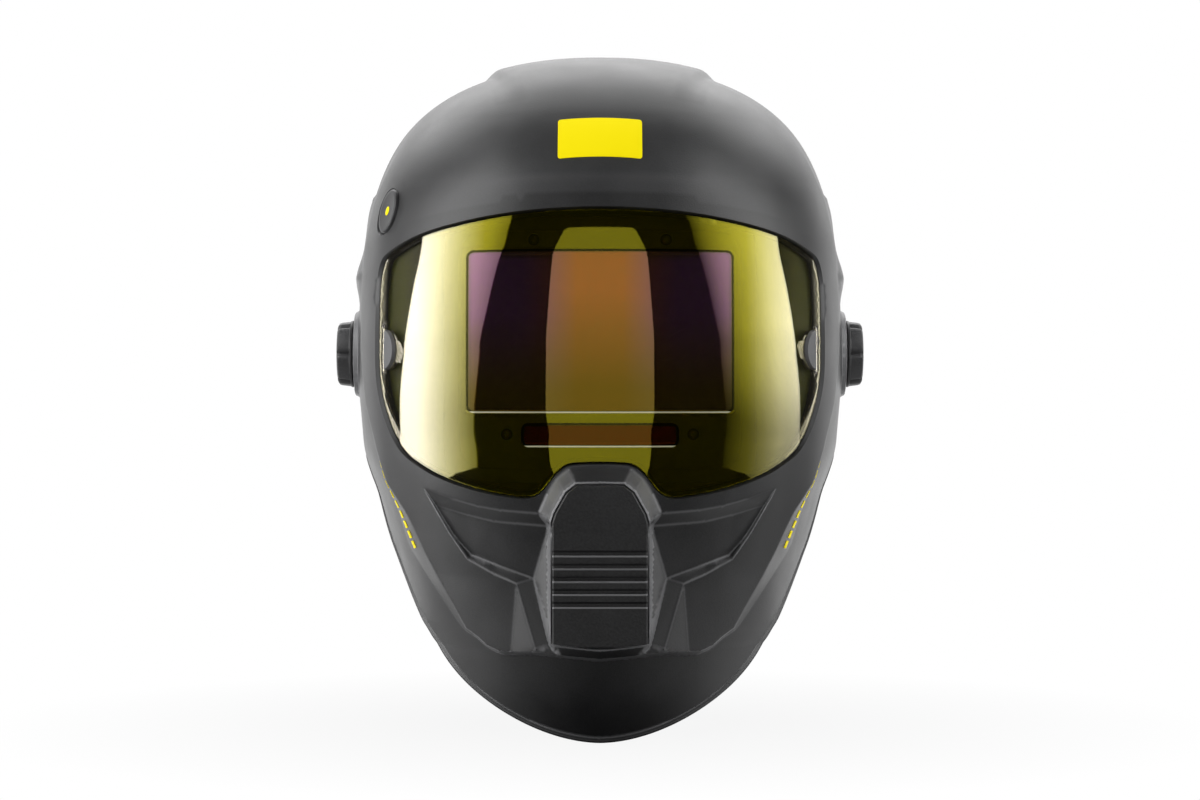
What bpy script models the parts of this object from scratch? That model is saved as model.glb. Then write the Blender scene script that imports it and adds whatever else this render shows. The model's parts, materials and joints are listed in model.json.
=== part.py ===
"""Auto-darkening welding helmet on an adjustable headgear, in metres with +Z up.

The origin is the middle of the flip axis between the two side knobs, and the face looks along -Y.
Left and right are the wearer's: left is +X.
"""

import math

import bmesh
import bpy
from mathutils import Vector
from mathutils.geometry import delaunay_2d_cdt

GAP = 0.0003
EDGE_BREAK = 0.0006
PLATE_CORNER = 0.001
HOLE_REACH = 0.008
SMOOTH_ANGLE = 32.0
ROUND_SEGMENTS = 24
SMALL_SEGMENTS = 16
SIDES = (("left", 1), ("right", -1))

# Shell: overall form
HALF_WIDTH = 0.1173
FACE_DEPTH = 0.159
CROWN_HEIGHT = 0.137
CHIN_DROP = 0.175
SHELL_WALL = 0.0028
SHELL_COLUMNS = 32
SHELL_ROWS = 30

# Each cross row of the shell from the chin rim to the back of the crown: how far its middle stands
# forward (share of the face depth) and up (share of the crown height, or of the chin drop below zero),
# its half width (share), the place of its side edge (y, z) and how square its curve is.
SHELL_SHAPE = (
    (0.723, -1.000, 0.974, 0.0120, -0.044, 1.82),
    (0.794, -0.898, 0.978, 0.0170, -0.038, 1.89),
    (0.845, -0.767, 0.981, 0.0210, -0.032, 2.00),
    (0.897, -0.614, 0.984, 0.0250, -0.025, 2.10),
    (0.942, -0.455, 0.990, 0.0280, -0.017, 2.20),
    (0.974, -0.284, 0.996, 0.0305, -0.009, 2.34),
    (0.997, -0.102, 1.000, 0.0320, 0.000, 2.42),
    (0.997, 0.110, 0.997, 0.0330, 0.010, 2.46),
    (0.968, 0.343, 0.991, 0.0330, 0.021, 2.48),
    (0.913, 0.555, 0.982, 0.0330, 0.032, 2.50),
    (0.806, 0.731, 0.964, 0.0320, 0.043, 2.48),
    (0.652, 0.861, 0.940, 0.0310, 0.053, 2.42),
    (0.458, 0.946, 0.916, 0.0290, 0.062, 2.33),
    (0.252, 0.988, 0.894, 0.0265, 0.069, 2.25),
    (0.052, 1.000, 0.876, 0.0230, 0.075, 2.20),
    (-0.116, 0.989, 0.860, 0.0180, 0.080, 2.20),
)

# Shell: the raised face, seen from in front as (x, z), and how proud it stands at each height
FACE_EDGE = (
    (0.0850, 0.1048),
    (0.0955, 0.0890),
    (0.1035, 0.0697),
    (0.1082, 0.0480),
    (0.1096, 0.0240),
    (0.1096, 0.0010),
    (0.1062, -0.0230),
    (0.1000, -0.0440),
    (0.0943, -0.0595),
    (0.0869, -0.0723),
    (0.0795, -0.0887),
    (0.0721, -0.1020),
    (0.0650, -0.1140),
    (0.0596, -0.1236),
    (0.0543, -0.1271),
    (0.0499, -0.1310),
    (0.0440, -0.1334),
)
FACE_SIDE = [(z, x) for x, z in reversed(FACE_EDGE)]
FACE_STEP = (
    (-0.136, 0.0120),
    (-0.120, 0.0095),
    (-0.100, 0.0066),
    (-0.080, 0.0052),
    (-0.060, 0.0042),
    (-0.040, 0.0028),
    (0.000, 0.0018),
    (0.045, 0.0016),
    (0.075, 0.0012),
    (0.105, 0.0000),
)
FACE_RAMP = ((-0.128, 0.0012), (-0.118, 0.0030), (-0.088, 0.0070), (-0.050, 0.0020), (0.110, 0.0020))
FACE_SOLID = 0.006
FACE_HOLLOW = (0.004, 0.012)
FACE_TURN = (0.080, 0.105)
CHEEK_TUCK = 0.275
CHEEK_TOP = (-0.040, -0.068)
CHEEK_FOOT = (-0.165, -0.092)
CROWN_RISE = 0.0034
CROWN_EDGE_FRONT = 0.036
CROWN_EDGE_BACK = 0.0495
CROWN_BEVEL = 0.0085
CROWN_ROWS = (0.70, 0.86, 0.95)
NOSE_HOLLOW = 0.010
NOSE_HOLLOW_SIDE = (0.019, 0.012)
NOSE_HOLLOW_FOOT = (-0.126, -0.118)
NOSE_HOLLOW_HEAD = (-0.064, -0.072)

# Shell: lips down each side, as heights of the top, peak and foot and how proud the peak stands
SIDE_LIPS = ((0.0775, 0.0745, 0.0520, 0.0020), (0.0500, 0.0360, 0.0230, 0.0024))
LIP_ACROSS = (0.80, 0.86)
LIP_END = 0.99

# Mask facets on one half of the face: (x, z, height over the face)
FACETS = {
    "bridge_mid": (0.0, -0.0507, 0.0),
    "bridge_side": (0.0138, -0.0516, 0.0),
    "bridge_low": (0.0188, -0.0558, 0.0),
    "bevel_top": (0.0220, -0.0606, 0.0),
    "bevel_out": (0.0267, -0.0714, 0.0),
    "brow_in": (0.0434, -0.0703, 0.0),
    "brow_mid": (0.0536, -0.0687, 0.0),
    "brow_out": (0.0647, -0.0659, 0.0),
    "tip": (0.0786, -0.0613, 0.0),
    "floor_tip": (0.0733, -0.0689, -0.0025),
    "floor_out": (0.0585, -0.0728, -0.0045),
    "floor_mid": (0.0464, -0.0754, -0.0045),
    "floor_in": (0.0223, -0.0770, -0.0045),
    "side_top": (0.0667, -0.0808, 0.0),
    "side_low": (0.0650, -0.0820, -0.0035),
    "corner_top": (0.0584, -0.0924, 0.0),
    "corner_low": (0.0568, -0.0907, -0.0042),
    "base_top": (0.0465, -0.0986, 0.0),
    "base_low": (0.0465, -0.0942, -0.0045),
    "heel": (0.0366, -0.1025, 0.0),
    "valley_top": (0.0291, -0.1002, -0.0045),
    "valley_foot": (0.0219, -0.1286, 0.0030),
    "foot": (0.0283, -0.1305, 0.0060),
    "foot_edge": (0.0292, -0.1329, 0.0050),
    "foot_out": (0.0391, -0.1334, 0.0),
    "chin_side": (0.0167, -0.1339, 0.0050),
    "chin_mid": (0.0, -0.1354, 0.0050),
    "panel_top": (0.0, -0.0581, 0.0080),
    "panel_shoulder": (0.0105, -0.0584, 0.0080),
    "panel_slope": (0.0150, -0.0620, 0.0080),
    "panel_hip": (0.0201, -0.0712, 0.0082),
    "panel_side": (0.0213, -0.0752, 0.0083),
    "panel_corner": (0.02135, -0.1284, 0.0090),
    "panel_foot": (0.0, -0.1305, 0.0090),
    "seat_top": (0.0, -0.0586, 0.0055),
    "seat_shoulder": (0.0102, -0.0589, 0.0055),
    "seat_slope": (0.0146, -0.0623, 0.0055),
    "seat_hip": (0.0197, -0.0714, 0.0056),
    "seat_side": (0.0209, -0.0753, 0.0057),
    "seat_corner": (0.02095, -0.1280, 0.0065),
    "seat_foot": (0.0, -0.1301, 0.0065),
}
FACET_LINES = (
    "bridge_mid bridge_side bridge_low bevel_top bevel_out floor_in panel_side",
    "bevel_out brow_in brow_mid brow_out tip side_top corner_top base_top heel valley_top",
    "tip floor_tip floor_out floor_mid floor_in valley_top valley_foot panel_corner",
    "floor_tip side_low corner_low base_low valley_top",
    "heel foot valley_foot",
    "foot foot_edge",
    "heel foot_out foot_edge chin_side chin_mid",
    "panel_top panel_shoulder panel_slope panel_hip panel_side panel_corner panel_foot",
    "seat_top seat_shoulder seat_slope seat_hip seat_side seat_corner seat_foot",
)

# Nose insert
NOSE_SEAT_DEPTH = 0.0025
NOSE_SEAT_PLAY = 0.0006
NOSE_PROUD = 0.0002
GROOVE_COUNT = 5
GROOVE_PITCH = 0.0056
GROOVE_WIDE = 0.0019
GROOVE_DEEP = 0.0011
GROOVE_TOP_Z = -0.0883

# Lens opening on one half of the face, (x, z) from the top middle round to the bridge
LENS_EDGE = (
    (0.0, 0.0614),
    (0.0390, 0.0591),
    (0.0750, 0.0525),
    (0.0925, 0.0452),
    (0.0985, 0.0375),
    (0.1000, 0.0165),
    (0.0990, -0.0152),
    (0.0905, -0.0414),
    (0.0785, -0.0526),
    (0.0585, -0.0604),
    (0.0360, -0.0646),
    (0.0268, -0.0630),
    (0.0196, -0.0547),
    (0.0143, -0.0507),
    (0.0070, -0.0498),
    (0.0, -0.0497),
)
LENS_STEPS = 3
LENS_INSET = 0.0008
LENS_THICK = 0.0016
LENS_FIT = 0.0004
SEAL_WIDE = 0.0018
STUD_TO_EDGE = 0.0027
STUD_REGION_X = 0.095
STUD_WIDE = 0.0048
STUD_TALL = 0.0182
STUD_PROUD = 0.0007
STUD_Z = 0.0003

# Filter cartridge, measured from its front face
WINDOW_WIDE = 0.118
WINDOW_TALL = 0.071
WINDOW_Z = 0.008
WINDOW_BEVEL = 0.0014
WINDOW_CORNER = 0.002
LENS_TO_FILTER = 0.037
FRAME_SIDE = 0.0045
FRAME_HEAD = 0.0105
FRAME_FOOT = 0.0265
FRAME_DEEP = 0.0116
FRAME_FACE = 0.0024
FRAME_WALL = 0.002
FRAME_CORNER = 0.009
GLASS_LAP = 0.0013
GLASS_THICK = 0.0036
REAR_LAP = 0.003
COVER_LENS_THICK = 0.0012
COVER_LENS_LAP = 0.002
COVER_LENS_CORNER = 0.003
SIGHT_BEVEL = 0.0008
PANEL_DROP = 0.003
PANEL_THICK = 0.0024
SOLAR_WIDE = 0.067
SOLAR_TALL = 0.0088
SOLAR_THICK = 0.001
SOLAR_LAP = 0.001
SOLAR_DROP = 0.0099
SENSOR_DIA = 0.005
SENSOR_INSET = 0.0004
SENSOR_FROM_SIDE = 0.0297
SENSOR_FROM_SOLAR = 0.0078
SENSOR_TOP_RISE = 0.0054
BOARD_THICK = 0.0012
BOARD_MARGIN = 0.002
DISPLAY_WIDE = 0.030
DISPLAY_TALL = 0.009
DISPLAY_LAP = 0.0018
DISPLAY_THICK = 0.0023
DISPLAY_FROM_KEY = 0.0225
KEY_DIA = 0.007
KEY_FLANGE = 0.0009
KEY_PROUD = 0.0012
KEY_FROM_SIDE = (0.0155, 0.0295)
KEY_FROM_TRAY = 0.023
TRAY_FROM_SIDE = 0.0045
TRAY_WIDE = 0.023
TRAY_TAB = 0.0022
TRAY_TAB_LIP = 0.0014
CELL_DIA = 0.016
CELL_THICK = 0.0028
CELL_RISE = 0.0108

# Filter holder and its clips
HOLDER_THICK = 0.002
HOLDER_FLANGE_OUT = 0.0034
HOLDER_FLANGE_IN = 0.0022
HOLDER_LAP = 0.0015
HOLDER_BORDER = 0.0048
HOLDER_SQUARE = 12.0
CLIP_TALL = 0.018
CLIP_THICK = 0.002
CLIP_HOOK = 0.002

# Side push button
BUTTON_X = -0.095
BUTTON_Z = 0.0635
BUTTON_DIA = 0.0205
BUTTON_PROUD = 0.0010
BUTTON_TRAVEL = 0.0015
BUTTON_SKIRT = 0.0035
SWITCH_FLANGE_DIA = 0.027
SWITCH_DIA = 0.015
SWITCH_FLANGE = 0.0018
SWITCH_DEEP = 0.006
STEM_DIA = 0.006
STEM_LONG = 0.0012

# Pivots, stacked outward from the headband
BOLT_DIA = 0.008
BOLT_SEAT = 0.005
BORE_PLAY = 0.0001
BOSS_DIA = 0.040
BOSS_DEEP = 0.0061
BOSS_PROUD = 0.0007
BOSS_IN_X = HALF_WIDTH - BOSS_DEEP
BOSS_OUT_X = HALF_WIDTH + BOSS_PROUD
RAIL_BASE = 0.003
RAIL_DOVETAIL = 0.0042
RAIL_ROOT_HALF = 0.0034
RAIL_HEAD_HALF = 0.0050
RAIL_HALF_TALL = 0.012
RAIL_FRONT_Y = -0.024
RAIL_BACK_Y = 0.026
BLOCK_HALF_LONG = 0.013
BLOCK_HALF_TALL = 0.0115
BLOCK_THICK = 0.0114
WASHER_DIA = 0.026
WASHER_THICK = 0.0017
STOP_DIA = 0.034
KNOB_DIA = 0.032
KNOB_THICK = 0.0079
KNOB_SKIRT = 0.0014
KNOB_LOBES = 6
KNOB_LOBE_DEEP = 0.0016
KNOB_NECK = 0.0008
KNOB_EDGE = 0.0012
KNOB_SEGMENTS = 36
KNOB_SEAT = 0.006

# Headband: a squared oval in plan that falls from brow to nape
BAND_TO_SHELL = 0.0333
BAND_HALF_WIDTH = HALF_WIDTH - BAND_TO_SHELL
BAND_HALF_LENGTH = 0.103
BAND_CENTRE_Y = 0.024
BAND_SQUARE = 2.4
BAND_THICK = 0.002
BAND_BROW_Z = 0.042
BAND_FALL = 0.39
BAND_HALF_TALL = 0.011
BAND_BROW_EXTRA = 0.003
BAND_TURN = 118.0
BROW_PAD_TURN = 56.0
BROW_PAD_HALF_TALL = 0.016
BROW_PAD_THICK = 0.0075
STRAP_THICK = 0.0018
STRAP_START_TURN = 108.0
STRAP_FORK_TURN = 161.0
STRAP_HALF_TALL = 0.011
RACK_TEETH = 15
PINION_TEETH = 12
TOOTH_MODULE = 0.001
TOOTH_BACKLASH = 0.0005
HOUSING_TURN = 25.0
HOUSING_HALF_TALL = 0.017
HOUSING_LIP = 0.0035
HOUSING_PLATE = 0.002
COVER_THICK = 0.0062
NAPE_PAD_TURN = 34.0
NAPE_PAD_HALF_TALL = 0.019
NAPE_PAD_THICK = 0.0085
HUB_DIA = 0.008
RATCHET_DIA = 0.044
RATCHET_THICK = 0.015
RATCHET_LOBES = 14
RATCHET_LOBE_DEEP = 0.0013
RATCHET_BACK_EDGE = 0.002
RATCHET_FRONT_EDGE = 0.003
RATCHET_SEGMENTS = 56
RATCHET_SEAT = 0.006

# Crown straps: each an arch from the band over the head
CROWN_STRAP_WIDE = 0.020
CROWN_STRAP_THICK = 0.0016
CROWN_STRAP_LAP = 0.25
# Each crown strap: its foot's turn on the band, the place (y, z) of its top and how far its foot stands off
CROWN_STRAPS = (("front", 70.0, 0.004, 0.107, 0.0021), ("rear", 97.0, 0.055, 0.104, 0.0009))
PEG_DIA = 0.006
PEG_HEAD_DIA = 0.010
PEG_HEAD = 0.0014
PEG_BOW = 0.0005


def clear_scene():
    for old in list(bpy.data.objects):
        bpy.data.objects.remove(old, do_unlink=True)


def material(name, colour, roughness, metallic=0.0):
    made = bpy.data.materials.new(name)
    made.use_nodes = True
    shader = made.node_tree.nodes["Principled BSDF"]
    shader.inputs["Base Color"].default_value = (*colour, 1.0)
    shader.inputs["Roughness"].default_value = roughness
    shader.inputs["Metallic"].default_value = metallic
    return made


def empty(name, at, parent=None):
    made = bpy.data.objects.new(name, None)
    bpy.context.scene.collection.objects.link(made)
    made.parent = parent
    made.location = Vector(at) - (parent.matrix_world.translation if parent else Vector())
    bpy.context.view_layer.update()
    return made


def add(name, bm, finish, parent):
    """An object made of a mesh in world places, with its origin on its parent."""
    bmesh.ops.recalc_face_normals(bm, faces=bm.faces)
    bmesh.ops.translate(bm, verts=bm.verts, vec=-parent.matrix_world.translation)
    mesh = bpy.data.meshes.new(name)
    bm.to_mesh(mesh)
    bm.free()
    mesh.shade_smooth()
    mesh.set_sharp_from_angle(angle=math.radians(SMOOTH_ANGLE))
    mesh.materials.append(finish)
    made = bpy.data.objects.new(name, mesh)
    bpy.context.scene.collection.objects.link(made)
    made.parent = parent
    return made


def cut(target, name, bm, operation="DIFFERENCE"):
    """Cuts or joins a shape into an object, with the shape kept as a wire guide."""
    tool = add(name, bm, target.data.materials[0], target.parent)
    tool.hide_render = True
    tool.display_type = "WIRE"
    change = target.modifiers.new(name, "BOOLEAN")
    change.operation = operation
    change.solver = "EXACT"
    change.object = tool


def signed_power(value, exponent):
    return math.copysign(abs(value) ** exponent, value)


def ramp(value, start, end):
    """0 at start and 1 at end, smooth between and level outside."""
    share = min(max((value - start) / (end - start), 0.0), 1.0)
    return share * share * (3.0 - 2.0 * share)


def table(pairs, value):
    """Straight-line reading of a rising list of (value, result)."""
    for (low, first), (high, second) in zip(pairs, pairs[1:]):
        if value <= high:
            share = max((value - low) / (high - low), 0.0)
            return first + (second - first) * share
    return pairs[-1][1]


def smooth_knots(knots, place):
    """A point on the smooth curve through evenly spaced knots, place counted in knots."""
    first = min(int(place), len(knots) - 2)
    t = place - first
    a, b, c, d = (knots[min(max(k, 0), len(knots) - 1)] for k in range(first - 1, first + 3))
    return [
        q + 0.5 * t * (r - p + t * (2 * p - 5 * q + 4 * r - s + t * (3 * (q - r) + s - p)))
        for p, q, r, s in zip(a, b, c, d)
    ]


def loft(loops, ring=False):
    """A solid through a row of loops of equal length: capped at its ends, or closed into a ring."""
    bm = bmesh.new()
    rows = [[bm.verts.new(point) for point in loop] for loop in loops]
    pairs = list(zip(rows, rows[1:]))
    if ring:
        pairs.append((rows[-1], rows[0]))
    else:
        bm.faces.new(rows[0])
        bm.faces.new(rows[-1])
    for low, high in pairs:
        for k in range(len(low)):
            after = (k + 1) % len(low)
            bm.faces.new((low[k], low[after], high[after], high[k]))
    return bm


def circle(radius, along, axis, at, segments=ROUND_SEGMENTS, lobes=0, lobe_deep=0.0):
    """A loop round an axis, with grip hollows pressed into it where lobes are asked for."""
    turn = Vector(axis).to_track_quat("Z", "Y")
    loop = []
    for k in range(segments):
        angle = 2 * math.pi * k / segments
        hollow = lobe_deep * max(math.cos(lobes * angle), 0.0) if lobes else 0.0
        flat = Vector(((radius - hollow) * math.cos(angle), (radius - hollow) * math.sin(angle), along))
        loop.append(Vector(at) + turn @ flat)
    return loop


def turned(profile, axis, at, segments=ROUND_SEGMENTS, ring=False):
    """A turned solid from a profile of (radius, place along the axis)."""
    return loft([circle(radius, along, axis, at, segments) for radius, along in profile], ring)


def washer(bore, dia, start, end, axis, at):
    profile = ((bore / 2, start), (dia / 2, start), (dia / 2, end), (bore / 2, end))
    return turned(profile, axis, at, ring=True)


def rounded(half_wide, half_tall, corner, centre, y):
    """A rounded rectangle facing -Y, as a loop."""
    loop = []
    for k in range(16):
        angle = 2 * math.pi * (k // 4 * 3 + k % 4) / 12
        corner_x = math.copysign(half_wide - corner, math.cos(math.pi / 2 * (k // 4) + math.pi / 4))
        corner_z = math.copysign(half_tall - corner, math.sin(math.pi / 2 * (k // 4) + math.pi / 4))
        x = centre[0] + corner_x + corner * math.cos(angle)
        z = centre[1] + corner_z + corner * math.sin(angle)
        loop.append(Vector((x, y, z)))
    return loop


def plate(wide, tall, centre, front, back, corner=PLATE_CORNER, front_grow=0.0):
    """A rounded plate between two depths, its front outline larger by front_grow."""
    near = rounded(wide / 2 + front_grow, tall / 2 + front_grow, corner, centre, front)
    return loft((near, rounded(wide / 2, tall / 2, corner, centre, back)))


def prism(outline, low, high):
    """An outline of (x, y) raised between two heights."""
    return loft([[Vector((x, y, z)) for x, y in outline] for z in (low, high)])


# Shell surface

BISECTIONS = 36
NORMAL_STEP = 0.002


def cheek_tuck(z):
    """The share of the width past the raised face by which the cheeks draw in at a height."""
    return CHEEK_TUCK * ramp(z, *CHEEK_TOP) * ramp(z, *CHEEK_FOOT)


def base(u, v):
    """The shell's plain form: u runs -1 to 1 across, v runs from 0 at the chin to 1 at the crown."""
    v = min(max(v, 0.0), 1.0)
    forward, rise, wide, edge_y, edge_z, square = smooth_knots(SHELL_SHAPE, v * (len(SHELL_SHAPE) - 1))
    quarter = min(abs(u), 1.0) * math.pi / 2
    across = math.sin(quarter) ** (2 / square)
    along = max(math.cos(quarter), 0.0) ** (2 / square)
    top = CROWN_HEIGHT * rise if rise > 0 else CHIN_DROP * rise
    z = edge_z + (top - edge_z) * along
    x = HALF_WIDTH * wide * across
    x -= cheek_tuck(z) * max(x - table(FACE_SIDE, z), 0.0)
    return Vector((math.copysign(x, u), edge_y - (FACE_DEPTH * forward + edge_y) * along, z))


def base_normal(u, v):
    step = NORMAL_STEP
    across = base(min(u + step, 1), v) - base(max(u - step, -1), v)
    upward = base(u, min(v + step, 1)) - base(u, max(v - step, 0))
    return across.cross(upward).normalized()


def across_at(x, v):
    """The u of a point x from the middle on row v, before the cheeks draw in."""
    _, _, wide, _, _, square = smooth_knots(SHELL_SHAPE, v * (len(SHELL_SHAPE) - 1))
    share = min(abs(x) / (HALF_WIDTH * wide), 1.0)
    return math.copysign(math.asin(share ** (square / 2)) / (math.pi / 2), x)


def patch_at(x, z):
    """The (u, v) that shows at (x, z) from in front."""
    past = max(abs(x) - table(FACE_SIDE, z), 0.0)
    x += math.copysign(past / (1 - cheek_tuck(z)) - past, x)
    low, high = 0.0, 1.0
    for _ in range(BISECTIONS):
        v = (low + high) / 2
        if base(across_at(x, v), v).z < z:
            low = v
        else:
            high = v
    return across_at(x, v), v


def row_at(u, z):
    """The v at which column u stands at height z."""
    low, high = 0.0, 1.0
    for _ in range(BISECTIONS):
        v = (low + high) / 2
        if base(u, v).z < z:
            low = v
        else:
            high = v
    return v


def inside(loop, x, y):
    """Whether a flat point lies in a closed loop of (x, y)."""
    found = False
    for (ax, ay), (bx, by) in zip(loop, loop[1:] + loop[:1]):
        if (ay > y) != (by > y) and x < ax + (bx - ax) * (y - ay) / (by - ay):
            found = not found
    return found


def distance(line, x, y):
    """The distance from a flat point to a line of (x, y) points."""
    best = math.inf
    for (ax, ay), (bx, by) in zip(line, line[1:]):
        dx, dy = bx - ax, by - ay
        share = min(max(((x - ax) * dx + (y - ay) * dy) / (dx * dx + dy * dy), 0.0), 1.0)
        best = min(best, math.hypot(x - ax - share * dx, y - ay - share * dy))
    return best


def facet_point(name):
    x, z, _ = FACETS[name]
    return x, z


def face_line():
    """The whole edge of the raised face on one half, down to the middle of its underside."""
    under = [facet_point(name) for name in ("foot_out", "foot_edge", "chin_side", "chin_mid")]
    return list(FACE_EDGE) + under


FACE_LINE = face_line()
FACE_LOOP = FACE_LINE + [(0.0, 1.0), (FACE_EDGE[0][0], 1.0)]


def face_share(x, z):
    """1 on the raised face, falling to 0 down the ramp round it."""
    if inside(FACE_LOOP, abs(x) + 1e-6, z):
        return 1.0
    return max(1.0 - distance(FACE_LINE, abs(x), z) / table(FACE_RAMP, z), 0.0)


def facet_triangles():
    names = list(FACETS)
    edges = []
    for line in FACET_LINES:
        chain = [names.index(name) for name in line.split()]
        edges += list(zip(chain, chain[1:]))
    points = [Vector(facet_point(name)) for name in names]
    found = delaunay_2d_cdt(points, edges, [], 0, 1e-7)
    heights = [FACETS[names[group[0]]][2] for group in found[3]]
    return [[(*found[0][k], heights[k]) for k in face] for face in found[2]]


FACET_TRIANGLES = facet_triangles()


def facet_height(x, z):
    """The height of the mask's facets over the face at a front-view place."""
    x = abs(x)
    for (ax, az, ah), (bx, bz, bh), (cx, cz, ch) in FACET_TRIANGLES:
        area = (bx - ax) * (cz - az) - (cx - ax) * (bz - az)
        b_share = ((x - ax) * (cz - az) - (cx - ax) * (z - az)) / area
        c_share = ((bx - ax) * (z - az) - (x - ax) * (bz - az)) / area
        if b_share > -1e-5 and c_share > -1e-5 and b_share + c_share < 1 + 1e-5:
            return ah + (bh - ah) * b_share + (ch - ah) * c_share
    return 0.0


def lift_direction(point, normal):
    """Straight forward on the mask, turning level and outward round the sides."""
    outward = Vector((normal.x, normal.y, 0.0)).normalized()
    return Vector((0, -1, 0)).lerp(outward, ramp(abs(point.x), *FACE_TURN)).normalized()


def crown_edge(v):
    start, _, end = CROWN_ROWS
    return CROWN_EDGE_FRONT + (CROWN_EDGE_BACK - CROWN_EDGE_FRONT) * ramp(v, start, end)


def crown_lift(x, v):
    edge = crown_edge(v)
    start, full, _ = CROWN_ROWS
    return CROWN_RISE * ramp(v, start, full) * (1 - ramp(abs(x), edge, edge + CROWN_BEVEL))


def side_lift(u, z):
    """How far the side lips stand out at a height."""
    proud = sum(high * ramp(z, top, peak) * ramp(z, foot, peak) for top, peak, foot, high in SIDE_LIPS)
    return math.copysign(proud * ramp(abs(u), *LIP_ACROSS), u)


def face_outside(u, v, offset=0.0):
    """The smooth raised face, moved along its own direction by an offset."""
    point = base(u, v)
    normal = base_normal(u, v)
    lift = table(FACE_STEP, point.z) * face_share(point.x, point.z)
    return point + lift_direction(point, normal) * lift + normal * offset


def shell_outside(u, v):
    point = base(u, v)
    normal = base_normal(u, v)
    lift = table(FACE_STEP, point.z) * face_share(point.x, point.z) + facet_height(point.x, point.z)
    lip = Vector((side_lift(u, point.z), 0, 0))
    return point + lift_direction(point, normal) * lift + normal * crown_lift(point.x, v) + lip


def shell_inside(u, v):
    point = base(u, v)
    deep = max(table(FACE_STEP, point.z) - FACE_SOLID, 0.0)
    edge = distance(FACE_LINE, abs(point.x), point.z)
    hollow = deep * face_share(point.x, point.z) * ramp(edge, *FACE_HOLLOW)
    nose = ramp(point.z, *NOSE_HOLLOW_FOOT) * ramp(point.z, *NOSE_HOLLOW_HEAD)
    nose *= ramp(abs(point.x), *NOSE_HOLLOW_SIDE)
    return point - base_normal(u, v) * SHELL_WALL + Vector((0, -1, 0)) * (hollow + NOSE_HOLLOW * nose)


# Patches of the shell surface, as closed solids

PATCH_WIDE = 0.24
PATCH_TALL = 0.48
POINT_SPACE = 0.0042
CREASE_ROWS = [0.72 + 0.26 * k / 8 for k in range(9)]
LIP_POINTS = 5


def grid_patch():
    """The plain grid of patch places, without the rim."""
    columns = [2 * k / SHELL_COLUMNS - 1 for k in range(1, SHELL_COLUMNS)]
    rows = [k / SHELL_ROWS for k in range(1, SHELL_ROWS)]
    return [(u, v) for v in rows for u in columns]


def rim_patch():
    """The rim of the whole patch, once round."""
    columns = [2 * k / SHELL_COLUMNS - 1 for k in range(SHELL_COLUMNS)]
    rows = [k / SHELL_ROWS for k in range(SHELL_ROWS)]
    bottom = [(u, 0.0) for u in columns]
    left_side = [(1.0, v) for v in rows]
    top = [(-u, 1.0) for u in columns]
    right_side = [(-1.0, 1.0 - v) for v in rows]
    return bottom + left_side + top + right_side


def flat_place(place):
    return (place[0] * PATCH_WIDE, place[1] * PATCH_TALL)


def sheet(loops, points, lines, surface, bm):
    """One face of a patch solid: fills the first loop less the others, and returns the loops' vertices."""
    flat_loops = [[flat_place(place) for place in loop] for loop in loops]
    flat_lines = [[flat_place(place) for place in line] for line in lines]
    borders = [loop + loop[:1] for loop in flat_loops] + flat_lines
    places = [place for border in flat_loops + flat_lines for place in border]
    edges = []
    start = 0
    for border in flat_loops + flat_lines:
        count = len(border)
        edges += [(start + k, start + k + 1) for k in range(count - 1)]
        if border in flat_loops:
            edges.append((start + count - 1, start))
        start += count
    for place in map(flat_place, points):
        if inside(flat_loops[0], *place) and min(distance(line, *place) for line in borders) > POINT_SPACE:
            places.append(place)
    found = delaunay_2d_cdt([Vector(place) for place in places], edges, [], 0, 1e-7)
    verts = [bm.verts.new(surface(x / PATCH_WIDE, y / PATCH_TALL)) for x, y in found[0]]
    for face in found[2]:
        x = sum(found[0][k].x for k in face) / 3
        y = sum(found[0][k].y for k in face) / 3
        if inside(flat_loops[0], x, y) and not any(inside(hole, x, y) for hole in flat_loops[1:]):
            bm.faces.new([verts[k] for k in face])
    made = {source: verts[k] for k, group in enumerate(found[3]) for source in group}
    starts = [sum(len(loop) for loop in loops[:k]) for k in range(len(loops))]
    return [[made[start + k] for k in range(len(loop))] for start, loop in zip(starts, loops)]


def patch_solid(loops, points, outer, inner, lines=()):
    """A closed solid between two surfaces over one region of the shell patch."""
    bm = bmesh.new()
    outer_loops = sheet(loops, points, lines, outer, bm)
    inner_loops = sheet(loops, points, (), inner, bm)
    for near, far in zip(outer_loops, inner_loops):
        for k in range(len(near)):
            after = (k + 1) % len(near)
            bm.faces.new((near[k], near[after], far[after], far[k]))
    loose = [vert for vert in bm.verts if not vert.link_faces]
    bmesh.ops.delete(bm, geom=loose, context="VERTS")
    return bm


def lens_outline(grow=0.0):
    """The lens opening as a closed front-view loop, moved outward by grow."""
    half = [Vector(point) for point in LENS_EDGE]
    knots = half + [Vector((-p.x, p.y)) for p in reversed(half[1:-1])]
    closed = [knots[-1]] + knots + knots[:2]
    count = len(knots)
    loop = []
    for k in range(count * LENS_STEPS):
        loop.append(Vector(smooth_knots(closed, 1 + k / LENS_STEPS)))
    moved = []
    for k, point in enumerate(loop):
        along = (loop[(k + 1) % len(loop)] - loop[k - 1]).normalized()
        moved.append((point.x - along.y * grow, point.y + along.x * grow))
    return moved


def on_patch(loop):
    return [patch_at(x, z) for x, z in loop]


def lens_edge_x(z):
    """How far out the lens opening's side reaches at a height."""
    side = [(-height, x) for x, height in LENS_EDGE if x > STUD_REGION_X]
    return table(side, -z)


STUD_FLAT_X = lens_edge_x(STUD_Z) - STUD_TO_EDGE


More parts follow.
